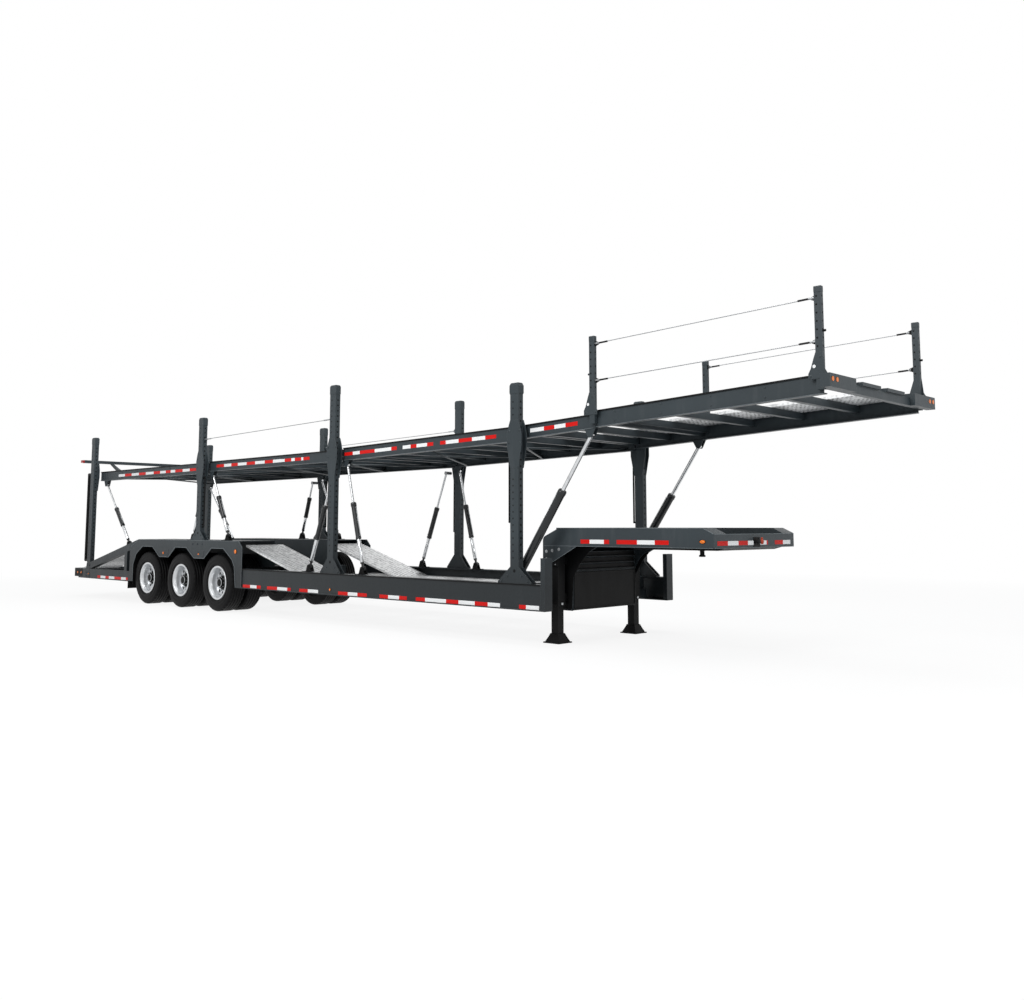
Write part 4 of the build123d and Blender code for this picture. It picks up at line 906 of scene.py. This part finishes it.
for height in (0.8675, 0.9425, 1.010):
    addBlock(mesh, (wall, -inner + 0.024, height - 0.024), (skin, inner - 0.024, height + 0.024), 0.001)
for height in (0.835, 0.910, 0.985):
    addBlock(mesh, (wall + 0.004, -inner + 0.020, height - 0.004),
             (wall + 0.028, inner - 0.020, height + 0.008), 0.002)
for side in (-1, 1):
    # black sheet on the outer face of the inner gusset: painted shade
    addPlate(mesh, neck["gussetShadeSheet"], side * 0.610, side * 0.610 + side * 0.002)
    # leg: gear box cover, crank shaft, seam strips, pin, bolts and struts of the foot
    x, y, z = leg["x"], side * leg["y"], leg["gearHeight"]
    out = side * (leg["y"] + leg["half"])
    cover = out + side * 0.030
    addBlock(mesh, (x - 0.050, out + side * 0.022, z - 0.050), (x + 0.060, cover, z + 0.050), 0.002)
    for away, lift in ((-0.040, -0.040), (0.050, -0.040), (-0.040, 0.040), (0.050, 0.040)):
        addBolt(mesh, (x + away, cover, z + lift), (0, side, 0), 0.014, 1, False)
    addRod(mesh, (x + 0.005, cover, z), (x + 0.005, out + side * 0.085, z), 0.012, 12, 1)
    for end in (-1, 1):
        face = x + end * leg["half"]
        for low, high in ((-0.056, -0.046), (0.046, 0.056)):
            addBlock(mesh, (face - 0.001, y + low, 0.430), (face + 0.001, y + high, 1.100))
    addBlock(mesh, (x - 0.068, y - 0.068, 0.425), (x + 0.068, y + 0.068, 0.470), 0.003)
    addRod(mesh, (x + 0.068, y, 0.448), (x + 0.078, y, 0.448), 0.014, 12, 1)
    for ahead, aside in ((-1, -1), (-1, 1), (1, -1), (1, 1)):
        addBar(mesh, (x + ahead * 0.052, y + aside * 0.052, 0.110),
               (x + ahead * 0.100, y + aside * 0.098, 0.018), 0.007, 0.007)
    for place, height in neck["bolts"]:
        addBolt(mesh, (place, side * neck["side"], height), (0, side, 0), 0.020, 1)
    # seams in pale paint: painted highlights
    for seam in neck["seams"]:
        addBars(mesh, seam, side * 0.841, 0.003, 0.006, 2)
# cross shaft of the legs
shaft = leg["x"] + 0.005
addRod(mesh, (shaft, -0.672, leg["gearHeight"]), (shaft, 0.672, leg["gearHeight"]), 0.016, 12)
# front edge, drawn in pale paint as a painted highlight, and the couplings of the air lines
front = neck["front"]
for height in (1.259, 1.116):
    addBar(mesh, (front + 0.001, -0.836, height), (front + 0.001, 0.836, height), 0.003, 0.006, 2)
addBlock(mesh, (front, -0.055, 1.120), (front + 0.005, 0.078, 1.225), 0.001)
for away, finish in ((-0.020, 0), (0.045, 3)):
    addTurned(mesh, (front + 0.004, away, 1.176), (1, 0, 0), neck["coupling"], 20, finish)
    addBar(mesh, (front + 0.046, away, 1.176), (front + 0.046, away, 1.222), 0.020, 0.016, finish, 0.003)
finishPiece("neckFittings", mesh, [blackPaint, zincSteel, palePaint, redEnamel], "chassis")
print("neck fittings made")

# nose bed: rail posts with holes, hooks and caps
rail = {
    # x, top, foot, way to the other post, heights of the two wires
    "posts": [(4.973, 3.425, 2.454, 1, (3.340, 2.930)), (7.630, 3.545, 2.583, -1, (3.440, 3.030))],
    "half": 0.035,
    "faces": (1.120, 1.164),
    "middle": 1.142,
    "holePitch": 0.078,
    "holeRadius": 0.0095,
    "bracket": [(-0.110, 0.098), (-0.110, 0.150), (-0.085, 0.195), (-0.055, 0.290), (-0.035, 0.345),
                (0.035, 0.345), (0.052, 0.190), (0.075, 0.150), (0.075, 0.098)],
    "bracketThickness": 0.005,
    "bracketBolts": [(-0.085, 0.125), (0.050, 0.125), (0.010, 0.300)],
}
mesh = bmesh.new()
for x, top, low, inward, wires in rail["posts"]:
    for side in (-1, 1):
        inner, outer = side * rail["faces"][0], side * rail["faces"][1]
        middle, out = side * rail["middle"], (0, side, 0)
        addBlock(mesh, (x - 0.038, inner - side * 0.003, top - 0.060),
                 (x + 0.038, outer + side * 0.003, top - 0.001), 0.006)
        # pin holes drawn as black discs: painted shade in the holes
        height = low + 0.40
        while height < top - 0.09:
            for y, way in ((outer, side), (inner, -side)):
                addHole(mesh, (x - 0.012, y, height), (0, way * 0.001, 0), rail["holeRadius"], 10)
            addHole(mesh, (x + rail["half"], middle, height), (0.001, 0, 0), rail["holeRadius"], 10)
            height += rail["holePitch"]
        # bracket: base flare, hole ring and bolts
        proud = outer + side * rail["bracketThickness"]
        addPlate(mesh, [(x + away, low + lift) for away, lift in rail["bracket"]], outer, proud, 0.001)
        addHole(mesh, (x - 0.050, proud, low + 0.215), (0, side * 0.0012, 0), 0.016, 14, 3)
        for away, lift in rail["bracketBolts"]:
            addBolt(mesh, (x + away, proud, low + lift), out, 0.014)
        # a shackle, a tension screw and a pin at each wire end
        start = x + inward * rail["half"]
        for height in wires:
            addPlate(mesh, [(start, height - 0.030), (start + inward * 0.045, height - 0.012),
                            (start + inward * 0.045, height + 0.012), (start, height + 0.030)],
                     side * 1.128, side * 1.133, 0.001, 1)
            addRod(mesh, (start + inward * 0.050, middle, height),
                   (start + inward * 0.170, middle, height + inward * 0.0046), 0.010, 6, 1, False)
            pin = start + inward * 0.032
            addRod(mesh, (pin, side * 1.122, height), (pin, side * 1.160, height), 0.006, 8, 2)
        addRod(mesh, (x - inward * rail["half"], middle, top - 0.42),
               (x - inward * 0.062, middle, top - 0.42), 0.012, 10, 1)
finishPiece("railFittings", mesh, [darkPaint, blackPaint, zincSteel, whiteTape], "bed_nose")
print("rail fittings made")

# edges and bolts of the bed channels
# body, x at both ends, height of the top at x = 0, rise per metre, depth, pitch of the bolts
channelTrim = {
    "face": 1.120,
    "web": 1.110,
    "rows": [
        ("bed_rear", -7.095, -3.140, 2.3983, 0.00328, 0.176, 0.60),
        ("bed_middle", -3.095, 0.440, 2.4102, 0.00395, 0.163, 0.60),
        ("bed_fore", 0.485, 3.871, 2.4207, 0.02356, 0.178, 0.60),
        ("bed_nose", 3.913, 4.955, 2.3244, 0.04896, 0.158, 0.45),
        ("bed_nose", 4.990, 7.635, 2.3639, 0.04831, 0.186, 0.60),
    ],
}
edgeMeshes = {}
for body, rear, fore, height, rise, depth, pitch in channelTrim["rows"]:
    mesh = edgeMeshes.setdefault(body, bmesh.new())
    for side in (-1, 1):
        # black strip under the upper edge as a painted shadow, and a pale strip along the lower edge as a
        # painted highlight
        for drop, deep, finish in ((0.0085, 0.016, 2), (depth - 0.0025, 0.005, 1)):
            edge = [(x, height + rise * x - drop) for x in (rear, fore)]
            addBars(mesh, edge, side * channelTrim["face"], 0.002, deep, finish)
        x = rear + 0.25
        while x < fore - 0.10:
            for drop in (0.045, depth - 0.045):
                place = (x, side * channelTrim["web"], height + rise * x - drop)
                addBolt(mesh, place, (0, side, 0), 0.014, 0, False)
            x += pitch
for body, mesh in edgeMeshes.items():
    finishPiece("channelTrim_" + body, mesh, [darkPaint, palePaint, blackPaint], body)
print("channel trim made")


# rays that show the surroundings, by sight, by reflection or through a clear piece
def seenBy(tree):
    rays = put(tree, "LightPath").outputs
    return sums(tree, "MAXIMUM", sums(tree, "MAXIMUM", rays["Is Camera Ray"], rays["Is Glossy Ray"]),
                rays["Is Transmission Ray"])


# floor and light
floor = {"size": 300.0, "height": -0.001, "colour": "#f4f4f4", "unseenColour": "#c3c6c9",
         "nearShare": 0.86, "fade": (9.0, 17.0)}
mesh = bmesh.new()
bmesh.ops.create_grid(mesh, x_segments=4, y_segments=4, size=floor["size"] / 2)
floorData = bpy.data.meshes.new("studioFloor")
mesh.to_mesh(floorData)
mesh.free()
floorObject = addObject("studioFloor", floorData)
floorObject.location.z = floor["height"]
floorMaterial = bpy.data.materials.new("paleFloor")
floorMaterial.use_nodes = True
tree = floorMaterial.node_tree
tree.nodes.remove(tree.nodes["Principled BSDF"])
seen = seenBy(tree)
tint = blendColours(tree, seen, linear(floor["unseenColour"]), linear(floor["colour"]))
matte = put(tree, "BsdfDiffuse", links={"Color": tint})
glow = put(tree, "Emission", values={"Color": (1, 1, 1, 1), "Strength": 1.0})
# the shadow is kept near the trailer, and the floor fades to plain white further out
where = put(tree, "TexCoord")
away = vectors(tree, "LENGTH", where.outputs["Object"])
share = span(tree, away.outputs["Value"], *floor["fade"], floor["nearShare"], 1.0)
lit = sums(tree, "MULTIPLY", seen, share)
mixed = put(tree, "MixShader", links={0: lit, 1: matte.outputs[0], 2: glow.outputs[0]})
tree.links.new(mixed.outputs[0], tree.nodes["Material Output"].inputs[0])
floorData.materials.append(floorMaterial)

world = bpy.data.worlds.new("studioWorld")
bpy.context.scene.world = world
world.use_nodes = True
tree = world.node_tree
seen = seenBy(tree)
white = put(tree, "Background", values={"Color": (1, 1, 1, 1), "Strength": 1.0})
soft = put(tree, "Background", values={"Color": linear("#f3f6fa"), "Strength": 0.4})
mixed = put(tree, "MixShader", links={0: seen, 1: soft.outputs[0], 2: white.outputs[0]})
tree.links.new(mixed.outputs[0], tree.nodes["World Output"].inputs[0])

# name: place, aim, size, watts
softBoxes = {
    "keyBox": ((4.0, -16.0, 12.0), (0.0, 0.0, 1.2), 9.0, 2100),
    "topBox": ((0.0, 1.0, 15.0), (0.0, 0.0, 1.0), 12.0, 1500),
    "frontBox": ((17.0, -2.0, 6.0), (0.0, 0.0, 1.2), 6.0, 500),
}
for name, (place, aim, size, watts) in softBoxes.items():
    lampData = bpy.data.lights.new(name, "AREA")
    lampData.size = size
    lampData.energy = watts
    lamp = addObject(name, lampData)
    lamp.location = place
    lamp.rotation_euler = (Vector(aim) - Vector(place)).to_track_quat("-Z", "Y").to_euler()
bpy.context.scene.view_settings.view_transform = "Standard"
print("floor and light set")
